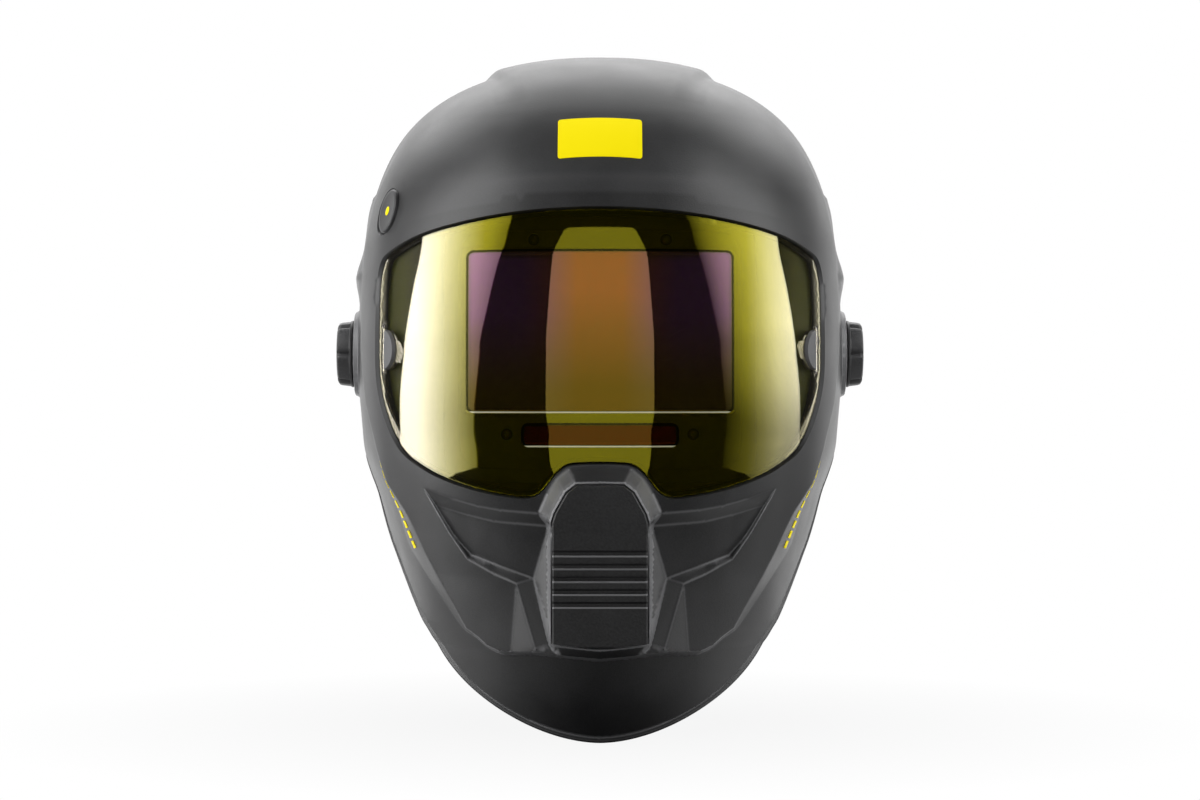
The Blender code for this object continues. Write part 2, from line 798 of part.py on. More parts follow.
def stud_outline(side, grow):
    """The D of a lens stud: flat towards the ear, round towards the nose."""
    loop = [(side * (STUD_FLAT_X + grow), STUD_Z - STUD_TALL / 2 - grow)]
    for k in range(1, 8):
        angle = math.pi * k / 8 - math.pi / 2
        x = STUD_FLAT_X - (STUD_WIDE + grow) * math.cos(angle)
        loop.append((side * x, STUD_Z + (STUD_TALL / 2 + grow) * math.sin(angle)))
    loop.append((side * (STUD_FLAT_X + grow), STUD_Z + STUD_TALL / 2 + grow))
    return loop


def mirrored(line):
    return [(-x, z) for x, z in line]


def shell_lines():
    """The creases of the outer shell: face edge, foot of its ramp, mask facets and crown panel."""
    foot = []
    for k, (x, z) in enumerate(FACE_LINE):
        before = Vector(FACE_LINE[max(k - 1, 0)])
        after = Vector(FACE_LINE[min(k + 1, len(FACE_LINE) - 1)])
        along = (after - before).normalized()
        wide = table(FACE_RAMP, z)
        foot.append((max(x - along.y * wide, 0.0), z + along.x * wide))
    lines = [FACE_LINE, foot]
    lines += [[facet_point(name) for name in line.split()] for line in FACET_LINES]
    found = [on_patch(line) for line in lines] + [on_patch(mirrored(line)) for line in lines]
    for side in (1, -1):
        for grow in (0.0, CROWN_BEVEL):
            found.append([(across_at(side * (crown_edge(v) + grow), v), v) for v in CREASE_ROWS])
        for height in sorted({height for lip in SIDE_LIPS for height in lip[:3]}):
            columns = turns(LIP_ACROSS[0], LIP_END, LIP_POINTS)
            found.append([(side * u, row_at(u, height)) for u in columns])
    return found


def button_frame():
    """The place and outward axis of the side push button."""
    place = patch_at(BUTTON_X, BUTTON_Z)
    return face_outside(*place), base_normal(*place)


def make_shell(finish, parent):
    loops = [rim_patch(), on_patch(lens_outline())]
    body = patch_solid(loops, grid_patch(), shell_outside, shell_inside, shell_lines())
    shell = add("helmet_shell", body, finish, parent)
    bore = BOLT_DIA + 2 * BORE_PLAY
    for name, side in SIDES:
        axis = (side, 0, 0)
        boss = turned(((BOSS_DIA / 2, BOSS_IN_X), (BOSS_DIA / 2, BOSS_OUT_X)), axis, (0, 0, 0))
        cut(shell, f"boss_guide_{name}", boss, "UNION")
        ends = ((bore / 2, BOSS_IN_X - HOLE_REACH), (bore / 2, BOSS_OUT_X + HOLE_REACH))
        cut(shell, f"pivot_hole_{name}", turned(ends, axis, (0, 0, 0)))
    at, axis = button_frame()
    hole_dia = BUTTON_DIA + 2 * GAP
    hole = turned(((hole_dia / 2, -4 * SHELL_WALL), (hole_dia / 2, 4 * SHELL_WALL)), axis, at)
    cut(shell, "button_hole", hole)


def nose_loop(inset, proud):
    """The nose seat's outline, drawn in by the fit, on the mask's front."""
    names = ("seat_top", "seat_shoulder", "seat_slope", "seat_hip", "seat_side", "seat_corner", "seat_foot")
    half = [facet_point(name) for name in names]
    whole = half + mirrored(half[-2:0:-1])
    middle_z = (half[0][1] + half[-1][1]) / 2
    loop = []
    for x, z in whole:
        pulled_x = x - math.copysign(min(inset, abs(x)), x)
        pulled_z = z + math.copysign(inset, middle_z - z)
        loop.append(nose_front(pulled_x, pulled_z, proud))
    return loop


def nose_front(x, z, proud):
    point = shell_outside(*patch_at(0.0, z))
    return Vector((x, point.y - proud, z))


def make_nose(finish, parent):
    """The grained panel on the nose block, with its grooves."""
    back = nose_loop(GAP, NOSE_SEAT_PLAY)
    front = nose_loop(GAP, NOSE_SEAT_DEPTH + NOSE_PROUD)
    insert = add("nose_insert", loft((back, front)), finish, parent)
    half = FACETS["panel_corner"][0]
    for k in range(GROOVE_COUNT):
        z = GROOVE_TOP_Z - GROOVE_PITCH * k
        y = nose_front(0.0, z, NOSE_SEAT_DEPTH + NOSE_PROUD).y
        mouth, foot = GROOVE_WIDE, 0.4 * GROOVE_WIDE
        outline = ((mouth, -GROOVE_DEEP), (-mouth, -GROOVE_DEEP), (-foot, GROOVE_DEEP), (foot, GROOVE_DEEP))
        bar = [[Vector((x, y + deep, z + tall)) for tall, deep in outline] for x in (-half, half)]
        cut(insert, f"groove_{k}", loft(bar))


def make_lens(lens_finish, seal_finish, stud_finish, parent):
    """The front lens in its opening, the seal behind its edge and the two studs through it."""
    edge = on_patch(lens_outline(-LENS_FIT))
    holes = [on_patch(stud_outline(side, GAP)) for _, side in SIDES]
    back = LENS_INSET + LENS_THICK

    def lens_front(u, v):
        return face_outside(u, v, -LENS_INSET)

    def lens_back(u, v):
        return face_outside(u, v, -back)

    def seal_front(u, v):
        return face_outside(u, v, -back - GAP)

    def seal_back(u, v):
        return base(u, v) - base_normal(u, v) * (SHELL_WALL + GAP / 2)

    def stud_front(u, v):
        return face_outside(u, v, STUD_PROUD - LENS_INSET)

    add("front_lens", patch_solid([edge] + holes, grid_patch(), lens_front, lens_back), lens_finish, parent)
    ring = [edge, on_patch(lens_outline(-LENS_FIT - SEAL_WIDE))]
    add("lens_seal", patch_solid(ring, [], seal_front, seal_back), seal_finish, parent)
    for name, side in SIDES:
        stud = patch_solid([on_patch(stud_outline(side, 0.0))], [], stud_front, seal_back)
        add(f"lens_stud_{name}", stud, stud_finish, parent)


# Filter cartridge

FRONT_Y = LENS_TO_FILTER - FACE_DEPTH
BACK_Y = FRONT_Y + FRAME_DEEP
FACE_BACK_Y = FRONT_Y + FRAME_FACE
FRAME_HALF = WINDOW_WIDE / 2 + FRAME_SIDE
FRAME_TOP_Z = WINDOW_Z + WINDOW_TALL / 2 + FRAME_HEAD
FRAME_LOW_Z = WINDOW_Z - WINDOW_TALL / 2 - FRAME_FOOT
FRAME_MID_Z = (FRAME_TOP_Z + FRAME_LOW_Z) / 2
CAVITY_HALF = FRAME_HALF - FRAME_WALL
TRAY_X = CAVITY_HALF - TRAY_FROM_SIDE - TRAY_WIDE / 2
KEY_PLACES = [inset - FRAME_HALF for inset in KEY_FROM_SIDE] + [TRAY_X - KEY_FROM_TRAY]
DISPLAY_X = KEY_PLACES[-1] - DISPLAY_FROM_KEY
SENSOR_TOP_X = WINDOW_WIDE / 2 - SENSOR_FROM_SIDE
SENSOR_LOW_X = SOLAR_WIDE / 2 + SENSOR_FROM_SOLAR
SPLIT_Z = WINDOW_Z - WINDOW_TALL / 2 - PANEL_DROP
SOLAR_Z = WINDOW_Z - WINDOW_TALL / 2 - SOLAR_DROP
SENSOR_TOP_Z = WINDOW_Z + WINDOW_TALL / 2 + SENSOR_TOP_RISE
BOARD_Y = FACE_BACK_Y + SOLAR_THICK + 2 * GAP
GLASS_Y = FACE_BACK_Y + GAP
COVER_Y = GLASS_Y + GLASS_THICK + GAP
PANEL_Y = BACK_Y - PANEL_THICK
PANEL_MID_Z = (SPLIT_Z + FRAME_LOW_Z + FRAME_WALL) / 2
TRAY_Y = (BOARD_Y, PANEL_Y - GAP)
SENSORS = ((SENSOR_TOP_X, SENSOR_TOP_Z), (-SENSOR_TOP_X, SENSOR_TOP_Z), (SENSOR_LOW_X, SOLAR_Z),
           (-SENSOR_LOW_X, SOLAR_Z))


def band_plate(half, low, high, front, back, corner=PLATE_CORNER):
    """A plate centred on the middle plane between two heights."""
    return plate(2 * half, high - low, (0.0, (low + high) / 2), front, back, corner)


def make_frame(finish, parent):
    body = band_plate(FRAME_HALF, FRAME_LOW_Z, FRAME_TOP_Z, FRONT_Y, BACK_Y, FRAME_CORNER)
    frame = add("filter_frame", body, finish, parent)
    low, high = FRAME_LOW_Z + FRAME_WALL, FRAME_TOP_Z - FRAME_WALL
    hollow = band_plate(CAVITY_HALF, low, high, FACE_BACK_Y, BACK_Y + FRAME_DEEP, FRAME_CORNER - FRAME_WALL)
    cut(frame, "frame_hollow", hollow)
    reach = FRAME_FACE / 2
    grow = WINDOW_BEVEL * (FRAME_FACE + 2 * reach) / FRAME_FACE
    near, far = FRONT_Y - reach, FACE_BACK_Y + reach
    window = plate(WINDOW_WIDE, WINDOW_TALL, (0, WINDOW_Z), near, far, WINDOW_CORNER, grow)
    cut(frame, "window_hole", window)
    cut(frame, "solar_hole", plate(SOLAR_WIDE, SOLAR_TALL, (0, SOLAR_Z), near, far))
    radius = SENSOR_DIA / 2 + GAP
    for k, (x, z) in enumerate(SENSORS):
        ends = ((radius, -reach), (radius, FRAME_FACE + reach))
        hole = turned(ends, (0, 1, 0), (x, FRONT_Y, z), SMALL_SEGMENTS)
        cut(frame, f"sensor_hole_{k}", hole)
    cut(frame, "tray_slot", tray_box(GAP, FRAME_LOW_Z - FRAME_WALL, FRAME_LOW_Z + 2 * FRAME_WALL))


def tray_loop(grow, z):
    half = TRAY_WIDE / 2 + grow
    near, far = TRAY_Y[0] - grow, TRAY_Y[1] + grow
    corners = ((-half, near), (half, near), (half, far), (-half, far))
    return [Vector((TRAY_X + x, y, z)) for x, y in corners]


def tray_box(grow, low, high):
    return loft((tray_loop(grow, low), tray_loop(grow, high)))


def make_cartridge(mats, parent):
    make_frame(mats["frame"], parent)
    lap = GLASS_LAP
    glass = plate(WINDOW_WIDE + 2 * lap, WINDOW_TALL + 2 * lap, (0, WINDOW_Z), GLASS_Y, GLASS_Y + GLASS_THICK)
    add("filter_glass", glass, mats["filter"], parent)
    lap = SOLAR_LAP
    solar_back = FACE_BACK_Y + GAP + SOLAR_THICK
    cell = plate(SOLAR_WIDE + 2 * lap, SOLAR_TALL + 2 * lap, (0, SOLAR_Z), FACE_BACK_Y + GAP, solar_back)
    add("solar_cell", cell, mats["solar"], parent)
    for k, (x, z) in enumerate(SENSORS):
        radius = SENSOR_DIA / 2
        end = BOARD_Y - GAP - FRONT_Y
        profile = ((0.55 * radius, SENSOR_INSET), (radius, 0.3 * radius + SENSOR_INSET), (radius, end))
        body = turned(profile, (0, 1, 0), (x, FRONT_Y, z), SMALL_SEGMENTS)
        add(f"arc_sensor_{k + 1}", body, mats["sensor"], parent)
    make_rear(mats, parent)
    make_clips(mats["clip"], parent)


def make_rear(mats, parent):
    """What closes the cartridge towards the face, and the electronics under it."""
    fit = CAVITY_HALF - GAP
    top = FRAME_TOP_Z - FRAME_WALL - GAP
    low = FRAME_LOW_Z + FRAME_WALL + GAP
    corner = FRAME_CORNER - FRAME_WALL
    body = band_plate(fit, SPLIT_Z + GAP / 2, top, COVER_Y, BACK_Y, corner)
    cover = add("filter_rear_cover", body, mats["frame"], parent)
    sight = (WINDOW_WIDE - 2 * REAR_LAP, WINDOW_TALL - 2 * REAR_LAP)
    near, far = COVER_Y - FRAME_WALL, BACK_Y + FRAME_WALL
    hole = plate(*sight, (0, WINDOW_Z), near, far, WINDOW_CORNER, -SIGHT_BEVEL)
    cut(cover, "sight_hole", hole)
    size = [length + 2 * COVER_LENS_LAP for length in sight]
    near, far = BACK_Y + GAP, BACK_Y + GAP + COVER_LENS_THICK
    add("inner_cover_lens", plate(*size, (0, WINDOW_Z), near, far, COVER_LENS_CORNER), mats["clear"], parent)
    body = band_plate(fit, low, SPLIT_Z - GAP / 2, PANEL_Y, BACK_Y, corner)
    panel = add("control_panel", body, mats["panel"], parent)
    at = (DISPLAY_X, PANEL_MID_Z)
    hole = plate(DISPLAY_WIDE, DISPLAY_TALL, at, PANEL_Y - PANEL_THICK, BACK_Y + PANEL_THICK)
    cut(panel, "display_hole", hole)
    lap = DISPLAY_LAP
    size = (DISPLAY_WIDE + 2 * lap, DISPLAY_TALL + 2 * lap)
    screen = plate(*size, at, PANEL_Y - GAP - DISPLAY_THICK, PANEL_Y - GAP)
    add("display", screen, mats["display"], parent)
    board_right = TRAY_X - TRAY_WIDE / 2 - BOARD_MARGIN
    board_left = -fit + BOARD_MARGIN
    centre = ((board_right + board_left) / 2, PANEL_MID_Z)
    tall = SPLIT_Z - low - 2 * BOARD_MARGIN
    board = plate(board_right - board_left, tall, centre, BOARD_Y, BOARD_Y + BOARD_THICK)
    add("circuit_board", board, mats["board"], parent)
    for k, x in enumerate(KEY_PLACES):
        radius = KEY_DIA / 2
        at = (x, PANEL_Y, PANEL_MID_Z)
        hole = turned(((radius + GAP, -PANEL_THICK), (radius + GAP, 2 * PANEL_THICK)), (0, 1, 0), at)
        cut(panel, f"key_hole_{k}", hole)
        flange = radius + KEY_FLANGE
        top = PANEL_THICK + KEY_PROUD
        profile = (
            (flange, -GAP - KEY_FLANGE),
            (flange, -GAP),
            (radius, -GAP),
            (radius, top - EDGE_BREAK),
            (radius - EDGE_BREAK, top),
        )
        body = empty(f"key_{k + 1}_frame", at, parent)
        add(f"control_key_{k + 1}", turned(profile, (0, 1, 0), at), mats["key"], body)
    make_tray(mats, parent)


def make_tray(mats, parent):
    """The battery tray, which slides down out of the cartridge."""
    body = empty("battery_tray_frame", (TRAY_X, TRAY_Y[0], FRAME_LOW_Z), parent)
    top = SPLIT_Z - BOARD_MARGIN
    seat = FRAME_LOW_Z - GAP
    tab = (tray_loop(TRAY_TAB_LIP, seat - TRAY_TAB), tray_loop(TRAY_TAB_LIP, seat))
    loops = tab + (tray_loop(0, seat), tray_loop(0, top))
    tray = add("battery_tray", loft(loops), mats["tray"], body)
    at = (TRAY_X, TRAY_Y[1], FRAME_LOW_Z + CELL_RISE)
    radius = CELL_DIA / 2
    deep = CELL_THICK + 2 * GAP
    cut(tray, "cell_pocket", turned(((radius + GAP, -deep), (radius + GAP, deep)), (0, 1, 0), at))
    cell = ((0.9 * radius, -deep + GAP), (radius, -deep + 2 * GAP), (radius, -GAP))
    add("coin_cell", turned(cell, (0, 1, 0), at), mats["steel"], body)


def make_clips(finish, parent):
    """Spring clips on the holder that hook behind the cartridge."""
    for name, side in SIDES:
        near = FRAME_HALF + GAP
        far = near + CLIP_THICK
        hook = FRAME_HALF - CLIP_HOOK
        back = BACK_Y + GAP
        end = back + CLIP_THICK
        outline = ((near, FRONT_Y), (far, FRONT_Y), (far, end), (hook, end), (hook, back), (near, back))
        flat = [(side * x, y) for x, y in outline]
        body = prism(flat, WINDOW_Z - CLIP_TALL / 2, WINDOW_Z + CLIP_TALL / 2)
        add(f"cartridge_clip_{name}", body, finish, parent)


def window_loop(half_wide, half_tall, outline, y):
    """A squared oval round the cartridge, with a point for each point of the lens outline."""
    loop = []
    for x, z in outline:
        dx, dz = x / half_wide, (z - FRAME_MID_Z) / half_tall
        reach = (abs(dx) ** HOLDER_SQUARE + abs(dz) ** HOLDER_SQUARE) ** (-1 / HOLDER_SQUARE)
        loop.append(Vector((x * reach, y, FRAME_MID_Z + (z - FRAME_MID_Z) * reach)))
    return loop


def make_holder(finish, parent):
    """The dark moulding that carries the cartridge behind the lens."""
    outline = lens_outline()
    half_tall = (FRAME_TOP_Z - FRAME_LOW_Z) / 2
    front = SHELL_WALL + GAP

    def flange(grow, depth):
        places = on_patch(lens_outline(grow))
        return [base(*place) - base_normal(*place) * depth for place in places]

    lip = FRONT_Y - GAP
    inner = (FRAME_HALF - HOLDER_LAP, half_tall - HOLDER_LAP, outline)
    outer = (FRAME_HALF + HOLDER_BORDER, half_tall + HOLDER_BORDER, outline)
    loops = (
        flange(HOLDER_FLANGE_OUT, front),
        flange(-HOLDER_FLANGE_IN, front),
        window_loop(*outer, lip - HOLDER_THICK),
        window_loop(*inner, lip - HOLDER_THICK),
        window_loop(*inner, lip),
        window_loop(*outer, lip),
        flange(-HOLDER_FLANGE_IN, front + HOLDER_THICK),
        flange(HOLDER_FLANGE_OUT, front + HOLDER_THICK),
    )
    add("filter_holder", loft(loops, ring=True), finish, parent)


def make_button(button_finish, switch_finish, parent):
    """The side push button in its hole, and the switch behind it."""
    at, axis = button_frame()
    body = empty("side_button_frame", at, parent)
    radius = BUTTON_DIA / 2
    stem = STEM_DIA / 2
    profile = (
        (stem, BUTTON_PROUD - BUTTON_SKIRT - STEM_LONG),
        (stem, BUTTON_PROUD - BUTTON_SKIRT),
        (radius, BUTTON_PROUD - BUTTON_SKIRT),
        (radius, BUTTON_PROUD - EDGE_BREAK),
        (radius - EDGE_BREAK, BUTTON_PROUD),
    )
    add("side_button", turned(profile, axis, at), button_finish, body)
    outer = SWITCH_FLANGE_DIA / 2
    inner_wall = (base(*patch_at(BUTTON_X, BUTTON_Z)) - at).dot(axis) - SHELL_WALL
    bow = outer * outer / (2 * HALF_WIDTH)
    top = inner_wall - bow - GAP
    recess = stem + BORE_PLAY
    floor = top - SWITCH_FLANGE - BUTTON_TRAVEL
    profile = (
        (recess, floor),
        (recess, top),
        (outer, top),
        (outer, top - SWITCH_FLANGE),
        (SWITCH_DIA / 2, top - SWITCH_FLANGE),
        (SWITCH_DIA / 2, top - SWITCH_FLANGE - SWITCH_DEEP),
    )
    add("button_switch", turned(profile, axis, at), switch_finish, parent)


# Pivots

RAIL_X = BAND_HALF_WIDTH + BAND_THICK + GAP
BLOCK_X = RAIL_X + RAIL_BASE + GAP
BLOCK_OUT_X = BLOCK_X + BLOCK_THICK
WASHER_X = BLOCK_OUT_X + GAP
STOP_X = WASHER_X + WASHER_THICK + GAP
KNOB_X = BOSS_OUT_X + GAP


def along_y(section, front, back):
    """An outline of (x, z) drawn out along Y."""
    return loft([[Vector((x, y, z)) for x, z in section] for y in (front, back)])


def make_rail(name, side, finish, parent):
    root, head, tall = RAIL_ROOT_HALF, RAIL_HEAD_HALF, RAIL_HALF_TALL
    inner, face, tip = RAIL_X, RAIL_X + RAIL_BASE, RAIL_X + RAIL_BASE + RAIL_DOVETAIL
    low = [(inner, -tall), (face, -tall), (face, -root), (tip, -head)]
    flat = [(side * x, z) for x, z in low] + [(side * x, -z) for x, z in reversed(low)]
    add(f"side_rail_{name}", along_y(flat, RAIL_FRONT_Y, RAIL_BACK_Y), finish, parent)


def make_block(name, side, finish, parent):
    """The block that slides fore and aft on the rail and carries the pivot bolt."""
    root, head, tall = RAIL_ROOT_HALF + GAP, RAIL_HEAD_HALF + GAP, BLOCK_HALF_TALL
    inner, tip, outer = BLOCK_X, RAIL_X + RAIL_BASE + RAIL_DOVETAIL + GAP, BLOCK_OUT_X
    low = [(outer, -tall), (inner, -tall), (inner, -root), (tip, -head)]
    flat = [(side * x, z) for x, z in low] + [(side * x, -z) for x, z in reversed(low)]
    block = add(f"slide_block_{name}", along_y(flat, -BLOCK_HALF_LONG, BLOCK_HALF_LONG), finish, parent)
    radius = BOLT_DIA / 2 + GAP
    ends = ((radius, BLOCK_OUT_X - BOLT_SEAT), (radius, BLOCK_OUT_X + BOLT_SEAT))
    cut(block, f"bolt_seat_{name}", turned(ends, (side, 0, 0), (0, 0, 0)))


def make_knob(name, side, finish, parent):
    body = empty(f"tension_knob_{name}_frame", (side * KNOB_X, 0, 0), parent)
    axis, at = (side, 0, 0), (side * KNOB_X, 0, 0)
    radius = KNOB_DIA / 2
    grip = radius - KNOB_NECK
    rings = (
        (radius, 0.0, 0.0),
        (radius, KNOB_SKIRT, 0.0),
        (grip, KNOB_SKIRT, KNOB_LOBE_DEEP),
        (grip, KNOB_THICK - KNOB_EDGE, KNOB_LOBE_DEEP),
        (grip - KNOB_EDGE, KNOB_THICK, KNOB_LOBE_DEEP),
    )
    loops = [circle(r, along, axis, at, KNOB_SEGMENTS, KNOB_LOBES, deep) for r, along, deep in rings]
    knob = add(f"tension_knob_{name}", loft(loops), finish, body)
    seat = BOLT_DIA / 2 + BORE_PLAY
    cut(knob, f"knob_seat_{name}", turned(((seat, -KNOB_SEAT), (seat, KNOB_SEAT)), axis, at))


def make_pivots(mats, bodies):
    for name, side in SIDES:
        axis, origin = (side, 0, 0), (0, 0, 0)
        make_rail(name, side, mats["band"], bodies["headgear"])
        make_block(name, side, mats["block"], bodies["carriage"])
        bore = BOLT_DIA + 2 * GAP
        ring = washer(bore, WASHER_DIA, WASHER_X, WASHER_X + WASHER_THICK, axis, origin)
        add(f"friction_washer_{name}", ring, mats["washer"], bodies["carriage"])
        bolt = BOLT_DIA / 2
        end = KNOB_X + KNOB_SEAT - GAP
        profile = ((bolt, BLOCK_OUT_X - BOLT_SEAT + GAP), (bolt, end - EDGE_BREAK), (bolt - EDGE_BREAK, end))
        add(f"pivot_bolt_{name}", turned(profile, axis, origin), mats["steel"], bodies["carriage"])
        stop = washer(BOLT_DIA + 2 * BORE_PLAY, STOP_DIA, STOP_X, BOSS_IN_X - GAP, axis, origin)
        add(f"stop_plate_{name}", stop, mats["block"], bodies["shell"])
        make_knob(name, side, mats["knob"], bodies["carriage"])


# Headgear


def band_point(turn, out, lift):
    """A point on the headband's oval: turn in degrees from the brow, out from its inner face, lift upward."""
    angle = math.radians(turn)
    across = signed_power(math.sin(angle), 2 / BAND_SQUARE)
    along = signed_power(math.cos(angle), 2 / BAND_SQUARE)
    x = (BAND_HALF_WIDTH + out) * across
    y = BAND_CENTRE_Y - (BAND_HALF_LENGTH + out) * along
    fall = BAND_FALL * BAND_HALF_LENGTH * (1 - along)
    return Vector((x, y, BAND_BROW_Z - fall + lift))


def band_sweep(stations):
    """A solid along the band from stations of (turn, section), a section being (out, lift) points."""
    return loft([[band_point(turn, out, lift) for out, lift in section] for turn, section in stations])


def strip(low, high, inner, outer):
    return ((inner, low), (outer, low), (outer, high), (inner, high))


def turns(start, end, count):
    return [start + (end - start) * k / (count - 1) for k in range(count)]


def make_band(finish, parent):
    stations = []
    for turn in turns(-BAND_TURN, BAND_TURN, 49):
        half = BAND_HALF_TALL + BAND_BROW_EXTRA * ramp(abs(turn), 75.0, 45.0)
        stations.append((turn, strip(-half, half, 0.0, BAND_THICK)))
    add("front_band", band_sweep(stations), finish, parent)


def pad_section(half, inner, thick):
    """A pad's crowned section, drawn in at its top and bottom edges, on the band's inner side."""
    points = [(inner, -0.9 * half), (inner, 0.9 * half)]
    for k in range(7):
        angle = math.pi * (k + 0.5) / 7
        deep = thick * math.sin(angle) ** 0.6
        points.append((inner - deep, half * signed_power(math.cos(angle), 0.8)))
    return points


def make_pad(name, centre, reach, half, inner, thick, finish, parent):
    stations = []
    for turn in turns(centre - reach, centre + reach, 25):
        end = abs(turn - centre) / reach
        swell = 0.35 + 0.65 * (1 - end ** 4) ** 0.5
        stations.append((turn, pad_section(half * (0.8 + 0.2 * swell), inner, thick * swell)))
    add(name, band_sweep(stations), finish, parent)


PITCH_RADIUS = TOOTH_MODULE * PINION_TEETH / 2
STRAP_IN = BAND_THICK + GAP
STRAP_OUT = STRAP_IN + STRAP_THICK
COVER_IN = STRAP_OUT + GAP
REAR_Y = BAND_CENTRE_Y + BAND_HALF_LENGTH
REAR_Z = BAND_BROW_Z - 2 * BAND_FALL * BAND_HALF_LENGTH
RATCHET_Y = REAR_Y + COVER_IN + COVER_THICK + GAP


def turn_at(x):
    """The turn past the nape, in degrees, of a place x across the rear of the strap."""
    share = min(abs(x) / (BAND_HALF_WIDTH + STRAP_IN), 1.0)
    return math.copysign(math.degrees(math.asin(share ** (BAND_SQUARE / 2))), x)


def make_strap(name, side, finish, parent):
    """A rear strap whose forked end carries a rack: the left one over the pinion, the right one under it."""
    stations = []
    for turn in turns(STRAP_START_TURN, STRAP_FORK_TURN, 15):
        stations.append((side * turn, strip(-STRAP_HALF_TALL, STRAP_HALF_TALL, STRAP_IN, STRAP_OUT)))
    pitch = math.pi * TOOTH_MODULE
    root = PITCH_RADIUS + 1.25 * TOOTH_MODULE
    tip = PITCH_RADIUS - 0.8 * TOOTH_MODULE
    half_tip = pitch / 4 - TOOTH_BACKLASH - 0.2 * TOOTH_MODULE
    half_root = pitch / 4 - TOOTH_BACKLASH + 0.4 * TOOTH_MODULE
    for k in range(RACK_TEETH):
        middle = (RACK_TEETH - 3.5 - k) * pitch
        for place, inner in ((half_root, root), (half_tip, tip), (-half_tip, tip), (-half_root, root)):
            turn = 180.0 - turn_at(middle + place)
            low, high = (inner, STRAP_HALF_TALL) if side > 0 else (-STRAP_HALF_TALL, -inner)
            stations.append((side * turn, strip(low, high, STRAP_IN, STRAP_OUT)))
    add(f"rear_strap_{name}", band_sweep(stations), finish, parent)


def make_ratchet(mats, cradle):
    """The housing at the nape, its pad, and the knob and pinion that draw the straps in."""
    low, lip, high = 0.0, HOUSING_PLATE, COVER_IN - GAP
    half, edge = HOUSING_HALF_TALL, HOUSING_HALF_TALL - HOUSING_LIP
    foot = [(low, -half), (high, -half), (high, -edge), (lip, -edge)]
    tray = foot + [(out, -lift) for out, lift in reversed(foot)]
    reach = turns(180.0 - HOUSING_TURN, 180.0 + HOUSING_TURN, 17)
    add("ratchet_housing", band_sweep([(turn, tray) for turn in reach]), mats["band"], cradle)
    outside = COVER_IN + COVER_THICK
    shut = ((COVER_IN, -half), (outside, -0.8 * half), (outside, 0.8 * half), (COVER_IN, half))
    cover = add("ratchet_cover", band_sweep([(turn, shut) for turn in reach]), mats["band"], cradle)
    at = (0, REAR_Y, REAR_Z)
    bore = HUB_DIA / 2 + BORE_PLAY
    cut(cover, "hub_hole", turned(((bore, 0), (bore, COVER_IN + 2 * COVER_THICK)), (0, 1, 0), at))
    make_pad("nape_pad", 180.0, NAPE_PAD_TURN, NAPE_PAD_HALF_TALL, -GAP, NAPE_PAD_THICK, mats["pad"], cradle)
    body = empty("ratchet_knob_frame", at, cradle)
    radius = RATCHET_DIA / 2
    start = RATCHET_Y - REAR_Y
    rings = (
        (radius - RATCHET_BACK_EDGE, 0.0, 0.0),
        (radius, RATCHET_BACK_EDGE, RATCHET_LOBE_DEEP),
        (radius, RATCHET_THICK - RATCHET_FRONT_EDGE, RATCHET_LOBE_DEEP),
        (radius - RATCHET_FRONT_EDGE, RATCHET_THICK, 0.0),
    )
    shape = (RATCHET_SEGMENTS, RATCHET_LOBES)
    loops = [circle(r, start + along, (0, 1, 0), at, *shape, deep) for r, along, deep in rings]
    knob = add("ratchet_knob", loft(loops), mats["knob"], body)
    seat = HUB_DIA / 2 + GAP
    ends = ((seat, start - RATCHET_SEAT), (seat, start + RATCHET_SEAT))
    cut(knob, "ratchet_seat", turned(ends, (0, 1, 0), at))
    add("ratchet_pinion", pinion(at, start + RATCHET_SEAT - GAP), mats["pinion"], body)


def pinion(at, end):
    """The toothed wheel between the two racks, with its hub out to the knob."""
    outer = PITCH_RADIUS + 0.8 * TOOTH_MODULE
    root = PITCH_RADIUS - 1.2 * TOOTH_MODULE
    shares = ((-0.25, root), (-0.11, outer), (0.11, outer), (0.25, root))
    step = 2 * math.pi / PINION_TEETH

    def toothed(along):
        loop = []
        for k in range(PINION_TEETH):
            for share, radius in shares:
                angle = step * (k + share)
                loop.append(Vector(at) + Vector((radius * math.sin(angle), along, radius * math.cos(angle))))
        return loop

    hub = []
    for along in (STRAP_OUT, end):
        loop = []
        for k in range(PINION_TEETH):
            for share, _ in shares:
                angle = step * (k + share)
                place = Vector((math.sin(angle) * HUB_DIA / 2, along, math.cos(angle) * HUB_DIA / 2))
                loop.append(Vector(at) + place)
        hub.append(loop)
    return loft([toothed(STRAP_IN), toothed(STRAP_OUT)] + hub)


def crown_arch(turn, top_y, top_z, stand_off, lean, out):
    """A point, width direction and outward direction on a crown strap, lean running -1 to 1 across."""
    foot = band_point(turn, BAND_THICK + stand_off, 0.0)
    angle = lean * math.pi / 2
    middle = Vector((0, top_y, top_z))
    arch = Vector((foot.x * math.sin(angle), foot.y + (middle.y - foot.y) * math.cos(angle),
                   foot.z + (middle.z - foot.z) * math.cos(angle)))
    tangent = band_point(turn + 2, 0.0, 0.0) - band_point(turn - 2, 0.0, 0.0)
    tangent.z = 0.0
    tangent.normalize()
    side = Vector((math.copysign(tangent.x, tangent.x * lean) if lean else 0.0, tangent.y, 0.0))
    width = Vector((0, 1, 0)).lerp(side, abs(math.sin(angle)) ** 3).normalized()
    along = Vector((foot.x * math.cos(angle), -(middle.y - foot.y) * math.sin(angle),
                    -(middle.z - foot.z) * math.sin(angle))).normalized()
    outward = along.cross(width).normalized()
    return arch + outward * out, width, outward


